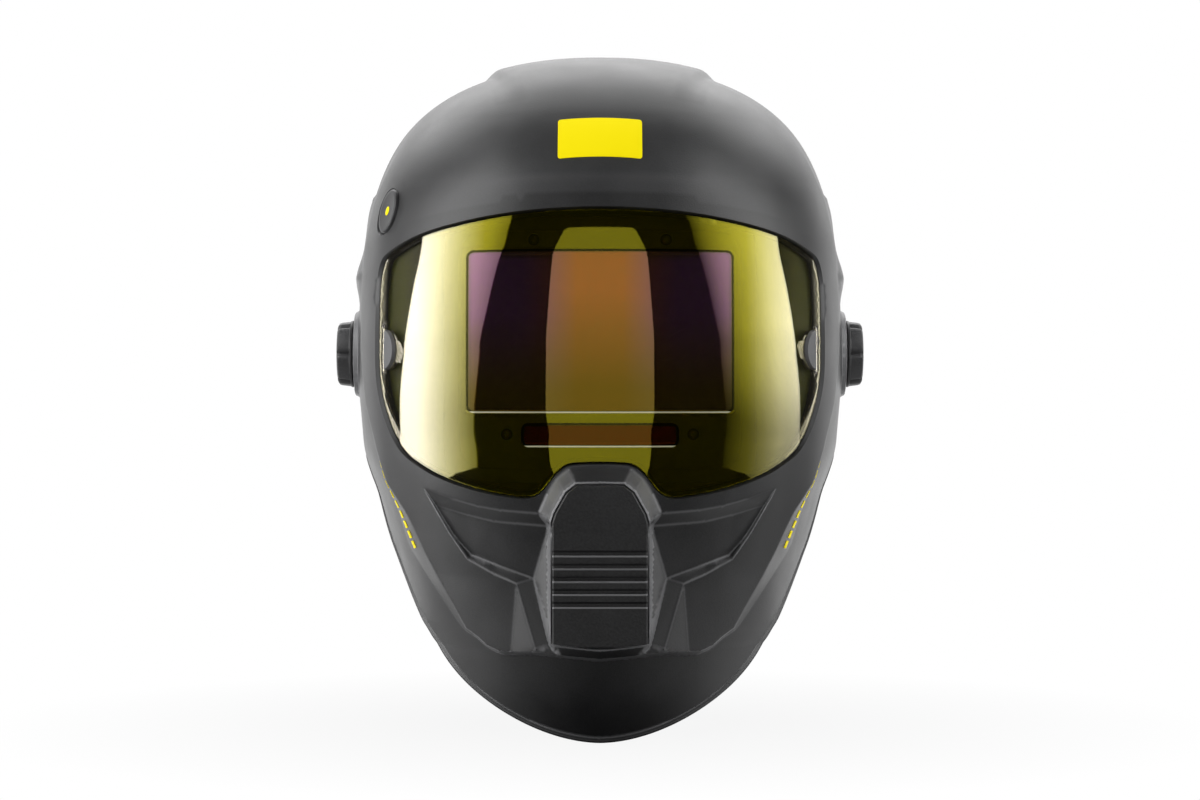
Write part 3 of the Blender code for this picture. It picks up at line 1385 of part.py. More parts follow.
def make_crown_straps(strap_finish, peg_finish, parent):
    for place, *shape in CROWN_STRAPS:
        for name, side in SIDES:
            under = 0.0 if side > 0 else CROWN_STRAP_THICK + GAP
            loops = []
            for lean in turns(-CROWN_STRAP_LAP, 1.0, 21):
                lift = under * ramp(lean, 0.9, 0.4)
                point, width, outward = crown_arch(*shape, side * lean, lift)
                half = width * (CROWN_STRAP_WIDE / 2)
                thick = outward * CROWN_STRAP_THICK
                loops.append([point - half, point + half, point + half + thick, point - half + thick])
            strap = add(f"crown_strap_{place}_{name}", loft(loops), strap_finish, parent)
            hole_at, _, axis = crown_arch(*shape, 0.0, 0.0)
            bore = PEG_DIA / 2 + GAP
            hole = turned(((bore, -HOLE_REACH), (bore, HOLE_REACH)), axis, hole_at, SMALL_SEGMENTS)
            cut(strap, f"peg_hole_{place}_{name}", hole)
        top = 2 * CROWN_STRAP_THICK + 2 * GAP
        low, pin = PEG_HEAD_DIA / 2, PEG_DIA / 2
        start = -GAP - PEG_BOW
        profile = (
            (low - EDGE_BREAK, start - PEG_HEAD),
            (low, start - PEG_HEAD + EDGE_BREAK),
            (low, start),
            (pin, start),
            (pin, top),
            (pin - EDGE_BREAK, top + EDGE_BREAK),
        )
        add(f"crown_peg_{place}", turned(profile, axis, hole_at, SMALL_SEGMENTS), peg_finish, parent)


def materials():
    return {
        "shell": material("charcoal_shell", (0.035, 0.036, 0.038), 0.45),
        "nose": material("grained_panel", (0.022, 0.022, 0.024), 0.6),
        "lens": material("amber_lens", (0.55, 0.50, 0.06), 0.08, 0.4),
        "clear": material("clear_plate", (0.80, 0.82, 0.82), 0.08),
        "seal": material("seal_rubber", (0.015, 0.015, 0.015), 0.8),
        "stud": material("grey_stud", (0.14, 0.14, 0.145), 0.5),
        "frame": material("filter_black", (0.020, 0.020, 0.020), 0.5),
        "filter": material("filter_glass", (0.22, 0.12, 0.16), 0.08, 0.3),
        "solar": material("solar_brown", (0.09, 0.03, 0.02), 0.2),
        "sensor": material("sensor_dark", (0.03, 0.01, 0.012), 0.15),
        "panel": material("panel_grey", (0.05, 0.05, 0.055), 0.5),
        "display": material("display_green", (0.30, 0.34, 0.28), 0.25),
        "board": material("board_green", (0.02, 0.12, 0.05), 0.5),
        "key": material("key_grey", (0.20, 0.20, 0.21), 0.6),
        "tray": material("tray_black", (0.025, 0.025, 0.025), 0.5),
        "steel": material("steel", (0.60, 0.60, 0.62), 0.3, 1.0),
        "clip": material("clip_black", (0.03, 0.03, 0.03), 0.5),
        "button": material("button_grey", (0.05, 0.05, 0.052), 0.5),
        "block": material("block_black", (0.028, 0.028, 0.030), 0.5),
        "washer": material("washer_white", (0.75, 0.74, 0.70), 0.5),
        "knob": material("knob_black", (0.020, 0.020, 0.022), 0.5),
        "band": material("band_black", (0.030, 0.030, 0.032), 0.5),
        "pad": material("pad_black", (0.030, 0.030, 0.032), 0.9),
        "pinion": material("pinion_grey", (0.30, 0.30, 0.31), 0.5),
    }


def main():
    clear_scene()
    mats = materials()
    headgear = empty("headgear", (0, 0, 0))
    carriage = empty("carriage", (0, 0, 0), headgear)
    shell = empty("shell", (0, 0, 0), carriage)
    cradle = empty("rear_cradle", (0, REAR_Y, REAR_Z), headgear)
    make_shell(mats["shell"], shell)
    make_nose(mats["nose"], shell)
    make_lens(mats["lens"], mats["seal"], mats["stud"], shell)
    make_cartridge(mats, shell)
    make_holder(mats["frame"], shell)
    make_button(mats["button"], mats["panel"], shell)
    make_pivots(mats, {"headgear": headgear, "carriage": carriage, "shell": shell})
    make_band(mats["band"], headgear)
    pad = (BROW_PAD_HALF_TALL, -GAP, BROW_PAD_THICK)
    make_pad("brow_pad", 0.0, BROW_PAD_TURN, *pad, mats["pad"], headgear)
    for name, side in SIDES:
        make_strap(name, side, mats["band"], headgear)
    make_ratchet(mats, cradle)
    make_crown_straps(mats["band"], mats["pinion"], headgear)


main()
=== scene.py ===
"""Looks of the welding helmet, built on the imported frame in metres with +Z up.

The face looks along -Y. Left and right are the wearer's: left is +X.
"""

import json
import math

import bmesh
import bpy
import numpy as np
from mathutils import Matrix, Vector
from mathutils.geometry import delaunay_2d_cdt
from mathutils.kdtree import KDTree


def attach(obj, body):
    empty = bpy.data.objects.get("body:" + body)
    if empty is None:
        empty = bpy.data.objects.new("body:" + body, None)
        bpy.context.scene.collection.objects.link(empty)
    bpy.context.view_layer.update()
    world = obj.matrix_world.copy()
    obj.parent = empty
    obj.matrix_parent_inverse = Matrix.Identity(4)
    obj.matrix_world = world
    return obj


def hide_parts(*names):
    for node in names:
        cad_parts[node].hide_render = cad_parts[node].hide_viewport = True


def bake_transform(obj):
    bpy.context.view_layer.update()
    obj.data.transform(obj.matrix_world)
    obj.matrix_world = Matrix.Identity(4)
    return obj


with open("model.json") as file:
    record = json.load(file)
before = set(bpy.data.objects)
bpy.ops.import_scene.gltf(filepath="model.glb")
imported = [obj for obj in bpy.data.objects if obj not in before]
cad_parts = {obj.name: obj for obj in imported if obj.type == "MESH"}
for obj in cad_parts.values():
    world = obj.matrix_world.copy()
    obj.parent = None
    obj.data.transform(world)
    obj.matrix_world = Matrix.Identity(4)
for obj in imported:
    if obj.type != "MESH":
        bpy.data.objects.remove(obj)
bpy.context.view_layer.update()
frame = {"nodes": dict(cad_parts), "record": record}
NODES = frame["nodes"]
SIDES = (("left", 1), ("right", -1))
GAP = 0.0003

# Shell: overall form, as the solid has it
HALF_WIDTH = 0.1173
FACE_DEPTH = 0.159
CROWN_HEIGHT = 0.137
CHIN_DROP = 0.175
SHELL_WALL = 0.0028
SHELL_SHAPE = (
    (0.723, -1.000, 0.974, 0.0120, -0.044, 1.82),
    (0.794, -0.898, 0.978, 0.0170, -0.038, 1.89),
    (0.845, -0.767, 0.981, 0.0210, -0.032, 2.00),
    (0.897, -0.614, 0.984, 0.0250, -0.025, 2.10),
    (0.942, -0.455, 0.990, 0.0280, -0.017, 2.20),
    (0.974, -0.284, 0.996, 0.0305, -0.009, 2.34),
    (0.997, -0.102, 1.000, 0.0320, 0.000, 2.42),
    (0.997, 0.110, 0.997, 0.0330, 0.010, 2.46),
    (0.968, 0.343, 0.991, 0.0330, 0.021, 2.48),
    (0.913, 0.555, 0.982, 0.0330, 0.032, 2.50),
    (0.806, 0.731, 0.964, 0.0320, 0.043, 2.48),
    (0.652, 0.861, 0.940, 0.0310, 0.053, 2.42),
    (0.458, 0.946, 0.916, 0.0290, 0.062, 2.33),
    (0.252, 0.988, 0.894, 0.0265, 0.069, 2.25),
    (0.052, 1.000, 0.876, 0.0230, 0.075, 2.20),
    (-0.116, 0.989, 0.860, 0.0180, 0.080, 2.20),
)
FACE_EDGE = (
    (0.0850, 0.1048),
    (0.0955, 0.0890),
    (0.1035, 0.0697),
    (0.1082, 0.0480),
    (0.1096, 0.0240),
    (0.1096, 0.0010),
    (0.1062, -0.0230),
    (0.1000, -0.0440),
    (0.0943, -0.0595),
    (0.0869, -0.0723),
    (0.0795, -0.0887),
    (0.0721, -0.1020),
    (0.0650, -0.1140),
    (0.0596, -0.1236),
    (0.0543, -0.1271),
    (0.0499, -0.1310),
    (0.0440, -0.1334),
)
FACE_SIDE = [(z, x) for x, z in reversed(FACE_EDGE)]
FACE_STEP = (
    (-0.136, 0.0120),
    (-0.120, 0.0095),
    (-0.100, 0.0066),
    (-0.080, 0.0052),
    (-0.060, 0.0042),
    (-0.040, 0.0028),
    (0.000, 0.0018),
    (0.045, 0.0016),
    (0.075, 0.0012),
    (0.105, 0.0000),
)
FACE_RAMP = ((-0.128, 0.0012), (-0.118, 0.0030), (-0.088, 0.0070), (-0.050, 0.0020), (0.110, 0.0020))
FACE_TURN = (0.080, 0.105)
FACE_SOLID = 0.006
FACE_HOLLOW = (0.004, 0.012)
CHEEK_TUCK = 0.275
CHEEK_TOP = (-0.040, -0.068)
CHEEK_FOOT = (-0.165, -0.092)
CROWN_RISE = 0.0034
CROWN_EDGE_FRONT = 0.036
CROWN_EDGE_BACK = 0.0495
CROWN_BEVEL = 0.0085
CROWN_ROWS = (0.70, 0.86, 0.95)
NOSE_HOLLOW = 0.010
NOSE_HOLLOW_SIDE = (0.019, 0.012)
NOSE_HOLLOW_FOOT = (-0.126, -0.118)
NOSE_HOLLOW_HEAD = (-0.064, -0.072)
SIDE_LIPS = ((0.0775, 0.0745, 0.0520, 0.0020), (0.0500, 0.0360, 0.0230, 0.0024))
LIP_ACROSS = (0.80, 0.86)
LIP_END = 0.99
BOSS_RADIUS = 0.020
BOSS_EDGE = 0.0008
BOSS_IN_X = 0.1112
BOSS_OUT_X = 0.1180
BOSS_REGION_X = 0.095
BORE_RADIUS = 0.0041

# Mask facets on one half of the face: (x, z, height over the face)
FACETS = {
    "bridge_mid": (0.0, -0.0507, 0.0),
    "bridge_side": (0.0138, -0.0516, 0.0),
    "bridge_low": (0.0188, -0.0558, 0.0),
    "bevel_top": (0.0220, -0.0606, 0.0),
    "bevel_out": (0.0267, -0.0714, 0.0),
    "brow_in": (0.0434, -0.0703, 0.0),
    "brow_mid": (0.0536, -0.0687, 0.0),
    "brow_out": (0.0647, -0.0659, 0.0),
    "tip": (0.0786, -0.0613, 0.0),
    "floor_tip": (0.0733, -0.0689, -0.0025),
    "floor_out": (0.0585, -0.0728, -0.0045),
    "floor_mid": (0.0464, -0.0754, -0.0045),
    "floor_in": (0.0223, -0.0770, -0.0045),
    "side_top": (0.0667, -0.0808, 0.0),
    "side_low": (0.0650, -0.0820, -0.0035),
    "corner_top": (0.0584, -0.0924, 0.0),
    "corner_low": (0.0568, -0.0907, -0.0042),
    "base_top": (0.0465, -0.0986, 0.0),
    "base_low": (0.0465, -0.0942, -0.0045),
    "heel": (0.0366, -0.1025, 0.0),
    "valley_top": (0.0291, -0.1002, -0.0045),
    "valley_foot": (0.0219, -0.1286, 0.0030),
    "foot": (0.0283, -0.1305, 0.0060),
    "foot_edge": (0.0292, -0.1329, 0.0050),
    "foot_out": (0.0391, -0.1334, 0.0),
    "chin_side": (0.0167, -0.1339, 0.0050),
    "chin_mid": (0.0, -0.1354, 0.0050),
    "panel_top": (0.0, -0.0581, 0.0080),
    "panel_shoulder": (0.0105, -0.0584, 0.0080),
    "panel_slope": (0.0150, -0.0620, 0.0080),
    "panel_hip": (0.0201, -0.0712, 0.0082),
    "panel_side": (0.0213, -0.0752, 0.0083),
    "panel_corner": (0.02135, -0.1284, 0.0090),
    "panel_foot": (0.0, -0.1305, 0.0090),
    "seat_top": (0.0, -0.0586, 0.0055),
    "seat_shoulder": (0.0102, -0.0589, 0.0055),
    "seat_slope": (0.0146, -0.0623, 0.0055),
    "seat_hip": (0.0197, -0.0714, 0.0056),
    "seat_side": (0.0209, -0.0753, 0.0057),
    "seat_corner": (0.02095, -0.1280, 0.0065),
    "seat_foot": (0.0, -0.1301, 0.0065),
}
FACET_LINES = (
    "bridge_mid bridge_side bridge_low bevel_top bevel_out floor_in panel_side",
    "bevel_out brow_in brow_mid brow_out tip side_top corner_top base_top heel valley_top",
    "tip floor_tip floor_out floor_mid floor_in valley_top valley_foot panel_corner",
    "floor_tip side_low corner_low base_low valley_top",
    "heel foot valley_foot",
    "foot foot_edge",
    "heel foot_out foot_edge chin_side chin_mid",
    "panel_top panel_shoulder panel_slope panel_hip panel_side panel_corner panel_foot",
    "seat_top seat_shoulder seat_slope seat_hip seat_side seat_corner seat_foot",
)

# Rim bead along the jaw and chin
BEAD_WIDE = 0.0022
BEAD_RISE = 0.0005
BEAD_GROOVE = 0.0030
BEAD_GROOVE_HALF = 0.0009
BEAD_GROOVE_DEEP = 0.0007
BEAD_ENDS = (0.985, 0.955)

# Lens opening on one half of the face, (x, z) from the top middle round to the bridge
LENS_EDGE = (
    (0.0, 0.0614),
    (0.0390, 0.0591),
    (0.0750, 0.0525),
    (0.0925, 0.0452),
    (0.0985, 0.0375),
    (0.1000, 0.0165),
    (0.0990, -0.0152),
    (0.0905, -0.0414),
    (0.0785, -0.0526),
    (0.0585, -0.0604),
    (0.0360, -0.0646),
    (0.0268, -0.0630),
    (0.0196, -0.0547),
    (0.0143, -0.0507),
    (0.0070, -0.0498),
    (0.0, -0.0497),
)
LENS_STEPS = 9
LENS_INSET = 0.0008
LENS_THICK = 0.0016
LENS_FIT = 0.0004
STUD_FLAT_X = 0.0968
STUD_WIDE = 0.0048
STUD_TALL = 0.0182
STUD_PROUD = 0.0007
STUD_Z = 0.0003

# Filter holder round the cartridge
FRAME_HALF = 0.0635
FRAME_MID_Z = 0.0
FRAME_HALF_TALL = 0.054
FRONT_Y = -0.122
HOLDER_THICK = 0.002
HOLDER_FLANGE_OUT = 0.0034
HOLDER_FLANGE_IN = 0.0022
HOLDER_LAP = 0.0015
HOLDER_BORDER = 0.0048
HOLDER_SQUARE = 12.0

# Nose insert
NOSE_SEAT_DEPTH = 0.0025
NOSE_SEAT_PLAY = 0.0006
NOSE_PROUD = 0.0002
NOSE_CHAMFER = 0.0006
GROOVE_COUNT = 5
GROOVE_PITCH = 0.0056
GROOVE_HALF = 0.0013
GROOVE_DEEP = 0.0011
GROOVE_TOP_Z = -0.0883
GROOVE_HIGHLIGHT_WIDE = 0.0005

# Side button and knobs
BUTTON_X = -0.095
BUTTON_Z = 0.0635
BUTTON_DIA = 0.0205
BUTTON_PROUD = 0.0010
BUTTON_SKIRT = 0.0035
BUTTON_DISH = 0.0003
BUTTON_DOT_RADIUS = 0.0021
STEM_RADIUS = 0.003
STEM_LONG = 0.0012
KNOB_X = BOSS_OUT_X + GAP
KNOB_RADIUS = 0.016
KNOB_THICK = 0.0079
KNOB_SEAT = 0.0058
KNOB_GROOVES = 6
KNOB_GROOVE_DEEP = 0.0016
KNOB_GROOVE_SHARP = 10
RATCHET_CENTRE = (0.0, 0.127, -0.03834)
RATCHET_START = 0.0109
RATCHET_RADIUS = 0.022
RATCHET_THICK = 0.015
RATCHET_LOBES = 14
RATCHET_LOBE_DEEP = 0.0013

# Headband, as the solid has it
BAND_HALF_WIDTH = 0.084
BAND_HALF_LENGTH = 0.103
BAND_CENTRE_Y = 0.024
BAND_SQUARE = 2.4
BAND_THICK = 0.002
BAND_BROW_Z = 0.042
BAND_FALL = 0.39
BAND_HALF_TALL = 0.011
BAND_BROW_EXTRA = 0.003
BAND_TURN = 118.0
BAND_PER_DEGREE = 0.00155
BAND_RECESS = 0.0005
BAND_BORDER = 0.0022
BROW_PAD_TURN = 56.0
BROW_PAD_HALF_TALL = 0.016
BROW_PAD_THICK = 0.0075
NAPE_PAD_TURN = 34.0
NAPE_PAD_HALF_TALL = 0.019
NAPE_PAD_THICK = 0.0085
CROWN_STRAP_WIDE = 0.020
CROWN_STRAP_THICK = 0.0016
CROWN_STRAP_LAP = 0.25
CROWN_STRAPS = (("front", 70.0, 0.004, 0.107, 0.0021), ("rear", 97.0, 0.055, 0.104, 0.0009))
CROWN_STRAP_LONG = 0.150
PEG_HOLE_RADIUS = 0.0033
SPARE_HOLES = (0.11, 0.20, 0.29, 0.38)
STRAP_HOLE_RADIUS = 0.0024


# Surface of the shell; u runs -1 to 1 across and v from 0 at the chin to 1 at the crown

BISECTIONS = 36
NORMAL_STEP = 0.002
PIVOT_START = (0.925, 0.41)
PIVOT_ROUNDS = 30
PIVOT_STEP = 1e-5
PIVOT_DAMPING = 0.7
RIM_STEP = 0.02
BEAD_SHOULDER = 0.7


def ramp(value, start, end):
    """0 at start and 1 at end, smooth between and level outside."""
    share = np.clip((value - start) / (end - start), 0.0, 1.0)
    return share * share * (3.0 - 2.0 * share)


def reading(pairs, value):
    places, results = np.array(pairs).T
    return np.interp(value, places, results)


def unit(vectors):
    return vectors / np.linalg.norm(vectors, axis=1)[:, None]


def knots(rows, place):
    """Points on the smooth curve through evenly spaced knots, place counted in knots."""
    rows = np.asarray(rows, float)
    first = np.clip(np.floor(place).astype(int), 0, len(rows) - 2)
    t = (place - first)[:, None]
    p, q, r, s = (rows[np.clip(first + k, 0, len(rows) - 1)] for k in (-1, 0, 1, 2))
    return q + 0.5 * t * (r - p + t * (2 * p - 5 * q + 4 * r - s + t * (3 * (q - r) + s - p)))


def cheek_tuck(z):
    """The share of the width past the raised face by which the cheeks draw in at a height."""
    return CHEEK_TUCK * ramp(z, *CHEEK_TOP) * ramp(z, *CHEEK_FOOT)


def base(u, v):
    v = np.clip(v, 0.0, 1.0)
    forward, rise, wide, edge_y, edge_z, square = knots(SHELL_SHAPE, v * (len(SHELL_SHAPE) - 1)).T
    quarter = np.minimum(np.abs(u), 1.0) * math.pi / 2
    across = np.sin(quarter) ** (2 / square)
    along = np.maximum(np.cos(quarter), 0.0) ** (2 / square)
    top = np.where(rise > 0, CROWN_HEIGHT, CHIN_DROP) * rise
    z = edge_z + (top - edge_z) * along
    x = HALF_WIDTH * wide * across
    x = x - cheek_tuck(z) * np.maximum(x - reading(FACE_SIDE, z), 0.0)
    y = edge_y - (FACE_DEPTH * forward + edge_y) * along
    return np.stack((np.copysign(x, u), y, z), 1)


def base_normal(u, v):
    step = NORMAL_STEP
    across = base(np.minimum(u + step, 1), v) - base(np.maximum(u - step, -1), v)
    upward = base(u, np.minimum(v + step, 1)) - base(u, np.maximum(v - step, 0))
    return unit(np.cross(across, upward))


def across_at(x, v):
    """The u of a point x from the middle on row v, before the cheeks draw in."""
    shape = knots(SHELL_SHAPE, v * (len(SHELL_SHAPE) - 1))
    share = np.minimum(np.abs(x) / (HALF_WIDTH * shape[:, 2]), 1.0)
    return np.copysign(np.arcsin(share ** (shape[:, 5] / 2)) / (math.pi / 2), x)


def halve(low_side):
    """The v in 0 to 1 at which a test turns from true to false, for each of many."""
    low, high = np.zeros(len(low_side(0.5))), np.ones(len(low_side(0.5)))
    for _ in range(BISECTIONS):
        v = (low + high) / 2
        below = low_side(v)
        low, high = np.where(below, v, low), np.where(below, high, v)
    return (low + high) / 2


def patch_at(line):
    """The (u, v) places that show at front-view (x, z) points."""
    x, z = np.asarray(line, float).T
    past = np.maximum(np.abs(x) - reading(FACE_SIDE, z), 0.0)
    x = x + np.copysign(past / (1 - cheek_tuck(z)) - past, x)
    v = halve(lambda rows: base(across_at(x, rows + 0 * x), rows + 0 * x)[:, 2] < z)
    return np.stack((across_at(x, v), v), 1)


def column_at(u, z):
    """The (u, v) places of columns u at height z."""
    u = np.asarray(u, float)
    v = halve(lambda rows: base(u, rows + 0 * u)[:, 2] < z)
    return np.stack((u, v), 1)


def side_patch(side, y, z):
    """The (u, v) places that show at (y, z) from a pivot's side."""
    start_u, start_v = PIVOT_START
    u, v = np.full(len(y), start_u * side), np.full(len(y), start_v)
    step = PIVOT_STEP
    for _ in range(PIVOT_ROUNDS):
        here = base(u, v)
        du = (base(u + step, v) - here) / step
        dv = (base(u, v + step) - here) / step
        miss_y, miss_z = y - here[:, 1], z - here[:, 2]
        scale = du[:, 1] * dv[:, 2] - du[:, 2] * dv[:, 1]
        u = u + PIVOT_DAMPING * (miss_y * dv[:, 2] - miss_z * dv[:, 1]) / scale
        v = v + PIVOT_DAMPING * (du[:, 1] * miss_z - du[:, 2] * miss_y) / scale
    return np.stack((u, v), 1)


def inside(loop, points):
    """Which flat points lie in a closed loop."""
    x, y = points.T
    found = np.zeros(len(points), bool)
    for (ax, ay), (bx, by) in zip(loop, np.roll(loop, -1, 0)):
        if ay != by:
            found ^= ((ay > y) != (by > y)) & (x < ax + (bx - ax) * (y - ay) / (by - ay))
    return found


def distance(line, x, y):
    """The distance from flat points to a line."""
    best = np.full(len(x), np.inf)
    for (ax, ay), (bx, by) in zip(line, line[1:]):
        dx, dy = bx - ax, by - ay
        share = np.clip(((x - ax) * dx + (y - ay) * dy) / (dx * dx + dy * dy), 0.0, 1.0)
        best = np.minimum(best, np.hypot(x - ax - share * dx, y - ay - share * dy))
    return best


def facet_point(name):
    return FACETS[name][:2]


FACE_FOOT = ("foot_out", "foot_edge", "chin_side", "chin_mid")
FACE_LINE = list(FACE_EDGE) + [facet_point(name) for name in FACE_FOOT]
FACE_LOOP = np.array(FACE_LINE + [(0.0, 1.0), (FACE_EDGE[0][0], 1.0)])


def face_share(x, z):
    """1 on the raised face, falling to 0 down the ramp round it."""
    on_face = inside(FACE_LOOP, np.stack((np.abs(x) + 1e-6, z), 1))
    ramped = np.maximum(1.0 - distance(FACE_LINE, np.abs(x), z) / reading(FACE_RAMP, z), 0.0)
    return np.where(on_face, 1.0, ramped)


def facet_triangles():
    names = list(FACETS)
    edges = []
    for line in FACET_LINES:
        chain = [names.index(name) for name in line.split()]
        edges += list(zip(chain, chain[1:]))
    points = [Vector(facet_point(name)) for name in names]
    found = delaunay_2d_cdt(points, edges, [], 0, 1e-7)
    heights = [FACETS[names[group[0]]][2] for group in found[3]]
    return [[(*found[0][k], heights[k]) for k in face] for face in found[2]]


FACET_TRIANGLES = facet_triangles()


def facet_height(x, z):
    """The height of the mask's facets over the face at front-view places."""
    x = np.abs(x)
    height = np.zeros(len(x))
    for (ax, az, ah), (bx, bz, bh), (cx, cz, ch) in FACET_TRIANGLES:
        area = (bx - ax) * (cz - az) - (cx - ax) * (bz - az)
        b_share = ((x - ax) * (cz - az) - (cx - ax) * (z - az)) / area
        c_share = ((bx - ax) * (z - az) - (x - ax) * (bz - az)) / area
        within = (b_share > -1e-5) & (c_share > -1e-5) & (b_share + c_share < 1 + 1e-5)
        height = np.where(within, ah + (bh - ah) * b_share + (ch - ah) * c_share, height)
    return height


def lift_direction(points, normals):
    """Straight forward on the mask, turning level and outward round the sides."""
    outward = normals.copy()
    outward[:, 2] = 0.0
    share = ramp(np.abs(points[:, 0]), *FACE_TURN)[:, None]
    return unit(np.array((0.0, -1.0, 0.0)) * (1 - share) + unit(outward) * share)


def crown_edge(v):
    start, _, end = CROWN_ROWS
    return CROWN_EDGE_FRONT + (CROWN_EDGE_BACK - CROWN_EDGE_FRONT) * ramp(v, start, end)


def crown_lift(x, v):
    edge = crown_edge(v)
    start, full, _ = CROWN_ROWS
    return CROWN_RISE * ramp(v, start, full) * (1 - ramp(np.abs(x), edge, edge + CROWN_BEVEL))


def side_lift(u, z):
    """How far the side lips stand out at a height."""
    proud = sum(high * ramp(z, top, peak) * ramp(z, foot, peak) for top, peak, foot, high in SIDE_LIPS)
    return np.copysign(proud * ramp(np.abs(u), *LIP_ACROSS), u)


def rim_distance(u, v):
    """About how far a place near the chin rim lies from it."""
    return v * np.linalg.norm(base(u, 0 * u + RIM_STEP) - base(u, 0 * u), axis=1) / RIM_STEP


def bead_lift(u, v):
    """The bead along the rim and the groove beside it."""
    away = rim_distance(u, v)
    bead = BEAD_RISE * (1 - ramp(away, BEAD_SHOULDER * BEAD_WIDE, BEAD_WIDE))
    groove = BEAD_GROOVE_DEEP * (1 - ramp(np.abs(away - BEAD_GROOVE), 0.0, BEAD_GROOVE_HALF))
    return (bead - groove) * ramp(np.abs(u), *BEAD_ENDS)


def with_boss(points, reach_x):
    """Flat round bosses at the two pivots."""
    radius = np.hypot(points[:, 1], points[:, 2])
    near = np.abs(points[:, 0]) > BOSS_REGION_X
    share = np.where(near, ramp(radius, BOSS_RADIUS + BOSS_EDGE, BOSS_RADIUS), 0.0)
    points[:, 0] += (np.copysign(reach_x, points[:, 0]) - points[:, 0]) * share
    return points


def face_outside(u, v, offset=0.0):
    """The smooth raised face, moved along its own direction by an offset."""
    points, normals = base(u, v), base_normal(u, v)
    lift = reading(FACE_STEP, points[:, 2]) * face_share(points[:, 0], points[:, 2])
    return points + lift_direction(points, normals) * lift[:, None] + normals * offset


def shell_outside(u, v, offset=0.0):
    points, normals = base(u, v), base_normal(u, v)
    x, _, z = points.T
    lift = reading(FACE_STEP, z) * face_share(x, z) + facet_height(x, z)
    rise = crown_lift(x, v) + bead_lift(u, v) + offset
    lip = np.stack((side_lift(u, z), 0 * z, 0 * z), 1)
    raised = points + lift_direction(points, normals) * lift[:, None] + normals * rise[:, None] + lip
    return with_boss(raised, BOSS_OUT_X)


def shell_inside(u, v):
    points, normals = base(u, v), base_normal(u, v)
    x, _, z = points.T
    deep = np.maximum(reading(FACE_STEP, z) - FACE_SOLID, 0.0)
    edge = distance(FACE_LINE, np.abs(x), z)
    hollow = deep * face_share(x, z) * ramp(edge, *FACE_HOLLOW)
    nose = ramp(z, *NOSE_HOLLOW_FOOT) * ramp(z, *NOSE_HOLLOW_HEAD) * ramp(np.abs(x), *NOSE_HOLLOW_SIDE)
    points = points - normals * SHELL_WALL
    points[:, 1] -= hollow + NOSE_HOLLOW * nose
    return with_boss(points, BOSS_IN_X)


# Meshes

PATCH = (0.24, 0.48)
CREASE_STEP = 0.0009
SMOOTH_PASSES = 1
SMOOTH_AXES = {"use_axis_x": True, "use_axis_y": True, "use_axis_z": True}
SHARP_ANGLE = 38.0
BEVEL_ANGLE = 34.0
FLAT_ANGLE = 1.0
EDGE_SHARE = 0.28
ROOM = 0.6
THIN_ROOM = 0.5


def dense(line, step, closed=False):
    """A flat line with points no further apart than a step."""
    line = np.asarray(line, float)
    ends = np.roll(line, -1, 0) if closed else line[1:]
    runs = []
    for start, end in zip(line, ends):
        count = max(int(np.ceil(np.linalg.norm(end - start) / step)), 1)
        runs.append(start + (end - start) * np.arange(count)[:, None] / count)
    if not closed:
        runs.append(line[-1:])
    return np.concatenate(runs)


def staggered(low, high, step):
    """A staggered grid of flat places in a box."""
    places = []
    for k, y in enumerate(np.arange(low[1], high[1], step * math.sqrt(3) / 2)):
        x = np.arange(low[0] + (k % 2) * step / 2, high[0], step)
        places.append(np.stack((x, np.full(len(x), y)), 1))
    return np.concatenate(places)


def clear_of(lines, places, room):
    """The places that keep a room from every line's points."""
    near = KDTree(sum(len(line) for line in lines))
    count = 0
    for line in lines:
        for x, y in line:
            near.insert((x, y, 0.0), count)
            count += 1
    near.balance()
    keep = [near.find((x, y, 0.0))[2] > room for x, y in places]
    return places[np.array(keep, bool)]


def sheet(bm, loops, lines, grids, surface, flat):
    """Fills the first loop less the others, and returns the loops' vertices.

    grids holds flat places and the room that they keep from every line.
    """
    borders = [np.asarray(loop) * flat for loop in loops]
    creases = [np.asarray(line) * flat for line in lines]
    places = [place for border in borders + creases for place in border]
    edges = []
    start = 0
    for k, border in enumerate(borders + creases):
        edges += [(start + j, start + j + 1) for j in range(len(border) - 1)]
        if k < len(borders):
            edges.append((start + len(border) - 1, start))
        start += len(border)
    for grid, room in grids:
        grid = grid[inside(borders[0], grid)]
        places += list(clear_of(borders + creases, grid, room))
    found = delaunay_2d_cdt([Vector(place) for place in places], edges, [], 0, 1e-8)
    flat_places = np.array([tuple(place) for place in found[0]])
    points = surface(*(flat_places / flat).T)
    faces = np.array([face for face in found[2] if len(face) == 3])
    middles = flat_places[faces].mean(1)
    kept = inside(borders[0], middles)
    for hole in borders[1:]:
        kept &= ~inside(hole, middles)
    verts = [bm.verts.new(point) for point in points]
    for face in faces[kept]:
        bm.faces.new([verts[k] for k in face])
    made = {source: verts[k] for k, group in enumerate(found[3]) for source in group}
    starts = np.cumsum([0] + [len(border) for border in borders])
    return [[made[start + k] for k in range(len(border))] for start, border in zip(starts, borders)]


def bridge(bm, first, last):
    for k in range(len(first)):
        after = (k + 1) % len(first)
        bm.faces.new((first[k], first[after], last[after], last[k]))


